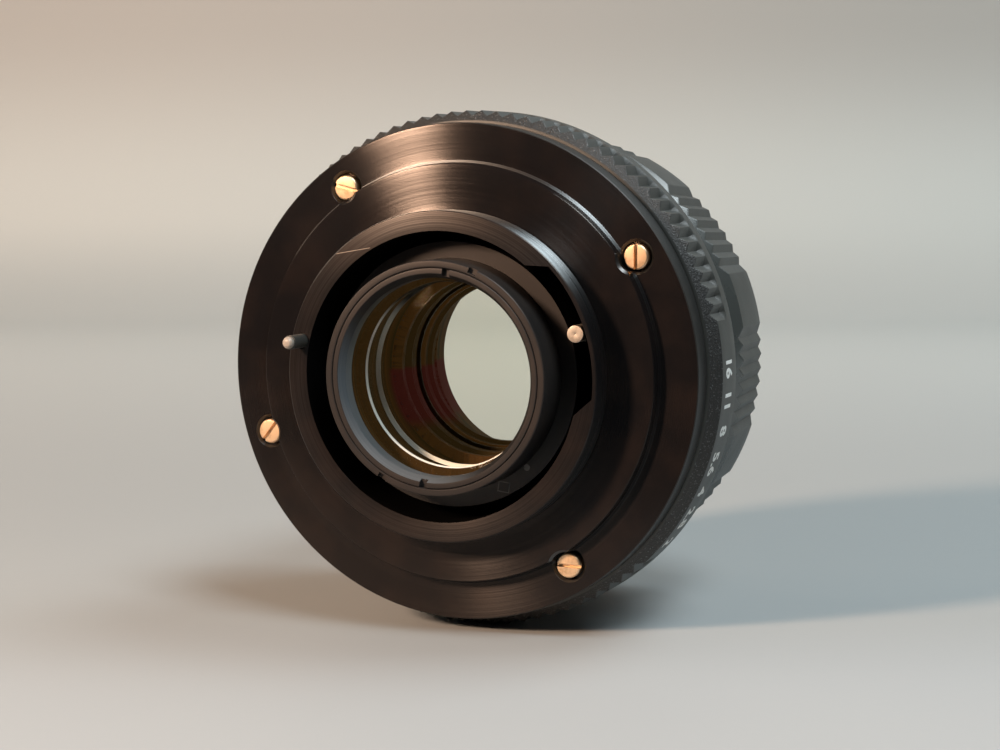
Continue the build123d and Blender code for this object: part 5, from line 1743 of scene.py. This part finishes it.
@dataclass
class InnerWorks:
    """CAD nodes that stay as they are and only get a finish."""

    # Parts that get the cell walls' painted coating reflections and painted glow.
    painted_reflection: tuple[str, ...] = ("rear_spacer", "front_spacer", "iris_housing", "iris_drive_ring",
                               "iris_retainer", "front_cell")

    def dress(self, shop: Shop) -> None:
        """Puts a finish on every shown CAD node, by its name or else by its slot.

        Args:
            shop: The finishes.
        """
        by_slot = {
            "bare_aluminium": shop.bare, "brass": shop.brass, "bright_steel": shop.steel,
            "blued_steel": shop.blued, "coated_glass": shop.inner_glass, BLACK: shop.inner,
        }
        by_name = {"lens_barrel": shop.shoulder, "coupling_ring": shop.inner,
                   **dict.fromkeys(self.painted_reflection, shop.wall)}
        slots = {row["node"]: row["material_slot"] for row in frame["record"]["subparts"]}
        for name, node in frame["nodes"].items():
            finish = by_name.get(name, by_slot[slots[name]])
            if node.data.materials:
                node.data.materials[0] = finish
            else:
                node.data.materials.append(finish)
            LOG.info("%s dressed", name)


# ---------------------------------------------------------------- studio


@dataclass(frozen=True)
class Panel:
    """A rectangular soft light, with its lengths in metres."""

    name: str
    toward: tuple[float, float, float]
    distance: float
    size: Range
    watts: float
    colour: Colour

    def hang(self, target: tuple[float, float, float]) -> None:
        """Hangs the light in its direction from a target, facing it.

        Args:
            target: Where it points, in metres.
        """
        data = bpy.data.lights.new(self.name, "AREA")
        data.shape, data.size, data.size_y = "RECTANGLE", *self.size
        data.energy, data.color = self.watts, self.colour
        lamp = bpy.data.objects.new(self.name, data)
        way = mathutils.Vector(self.toward).normalized()
        lamp.location = mathutils.Vector(target) + way * self.distance
        lamp.rotation_euler = way.to_track_quat("Z", "Y").to_euler()
        link(lamp)


@dataclass
class Studio:
    """Pale seamless floor and backdrop, lights and camera."""

    floor_z: float = -31.58
    near_edge: float = -62.0
    reach: float = 520.0
    bend: float = 260.0
    top: float = 1200.0
    half_width: float = 1500.0
    floor_rows: int = 60
    bend_rows: int = 40
    columns: int = 60
    azimuth_deg: float = 21.368
    elevation_deg: float = 5.555
    distance: float = 250.0
    shift_right: float = 5.070
    shift_up: float = -0.225
    lens_mm: float = 74.75
    sensor_mm: float = 36.0
    clip_m: Range = (0.01, 10.0)
    target_m: tuple[float, float, float] = (0.0, 0.01, 0.0)
    air: Colour = (0.80, 0.84, 0.88)
    air_strength: float = 0.03

    def sweep(self) -> None:
        """Floor that curves up into the backdrop.

        Depth and height follow a line, a quarter circle and a line, turned round Z to face the
        camera.
        """
        arc = np.linspace(0, np.pi / 2, self.bend_rows)
        floor_line = np.linspace(self.near_edge, self.reach, self.floor_rows, endpoint=False)
        depth = np.concatenate([floor_line, self.reach + self.bend * np.sin(arc),
                                [self.reach + self.bend]])
        lift = np.concatenate([np.zeros(self.floor_rows), self.bend * (1 - np.cos(arc)),
                               [self.top]])
        turn = math.radians(self.azimuth_deg)
        across = np.linspace(-self.half_width, self.half_width, self.columns)
        d, w = np.meshgrid(depth, across, indexing="ij")
        x = w * math.cos(turn) - d * math.sin(turn)
        y = w * math.sin(turn) + d * math.cos(turn)
        z = np.broadcast_to(lift[:, None] + self.floor_z, d.shape)
        floor = mesh_object("studio_sweep", np.stack([x, y, z], -1),
                            wrap_faces(*d.shape, False, False), recalculate=False, sharp_deg=60)
        floor.data.materials.append(SweepPaperPaintedLight("sweep_paper_painted_light").make(turn))
        floor.data.flip_normals()

    def lights(self) -> None:
        """Warm lamp high on the left behind the camera, cool skylight above and behind."""
        for panel in (
            Panel("warm_lamp", (-0.478, -0.771, 0.42), 0.60, (0.075, 0.10), 5.6,
                  (1.0, 0.66, 0.46)),
            Panel("cool_overhead", (0.43, -0.34, 0.84), 0.70, (0.24, 0.24), 3.2,
                  (0.90, 0.97, 1.0)),
            Panel("cool_right", (0.42, 0.38, 0.83), 0.90, (0.45, 0.45), 4.3, (0.86, 0.96, 1.0)),
            Panel("cool_window", (0.20, 0.80, 0.55), 1.2, (0.80, 0.50), 1.9, (0.85, 0.97, 1.0)),
            Panel("warm_left", (-0.87, -0.05, 0.42), 1.0, (0.40, 0.30), 1.7, (1.0, 0.80, 0.62)),
        ):
            panel.hang(self.target_m)
        world = bpy.data.worlds.new("studio_air")
        bpy.context.scene.world = world
        world.use_nodes = True
        air = world.node_tree.nodes["Background"]
        air.inputs["Color"].default_value = (*self.air, 1.0)
        air.inputs["Strength"].default_value = self.air_strength

    def camera(self) -> None:
        """Camera on a sphere round the origin, moved a little sideways without a turn."""
        a, e = math.radians(self.azimuth_deg), math.radians(self.elevation_deg)
        back = np.array([math.sin(a) * math.cos(e), -math.cos(a) * math.cos(e), math.sin(e)])
        right = np.array([math.cos(a), math.sin(a), 0.0])
        up = np.cross(back, right)
        data = bpy.data.cameras.new("camera")
        data.lens, data.sensor_width, data.sensor_fit = self.lens_mm, self.sensor_mm, "HORIZONTAL"
        data.clip_start, data.clip_end = self.clip_m
        eye = link(bpy.data.objects.new("camera", data))
        place = self.distance * back + self.shift_right * right + self.shift_up * up
        basis = np.eye(4)
        basis[:3] = np.stack([right, up, back, place * MM], -1)
        eye.matrix_world = mathutils.Matrix(basis.tolist())
        bpy.context.scene.camera = eye

    def build(self) -> None:
        """Everything round the lens."""
        self.sweep()
        self.lights()
        self.camera()
        bpy.context.scene.view_settings.view_transform = "Standard"


def main() -> None:
    """Builds the studio and the lens in order."""
    logging.basicConfig(level=logging.INFO, format="%(message)s")
    shop = Shop()
    Studio().build()
    InnerWorks().dress(shop)
    for part in (MountPlate(), ApertureRing(), FocusRing(), Pins(), RearOptics(), FrontEnd()):
        part.build(shop)
        LOG.info("%s built", type(part).__name__)


if __name__ == "__main__":
    main()
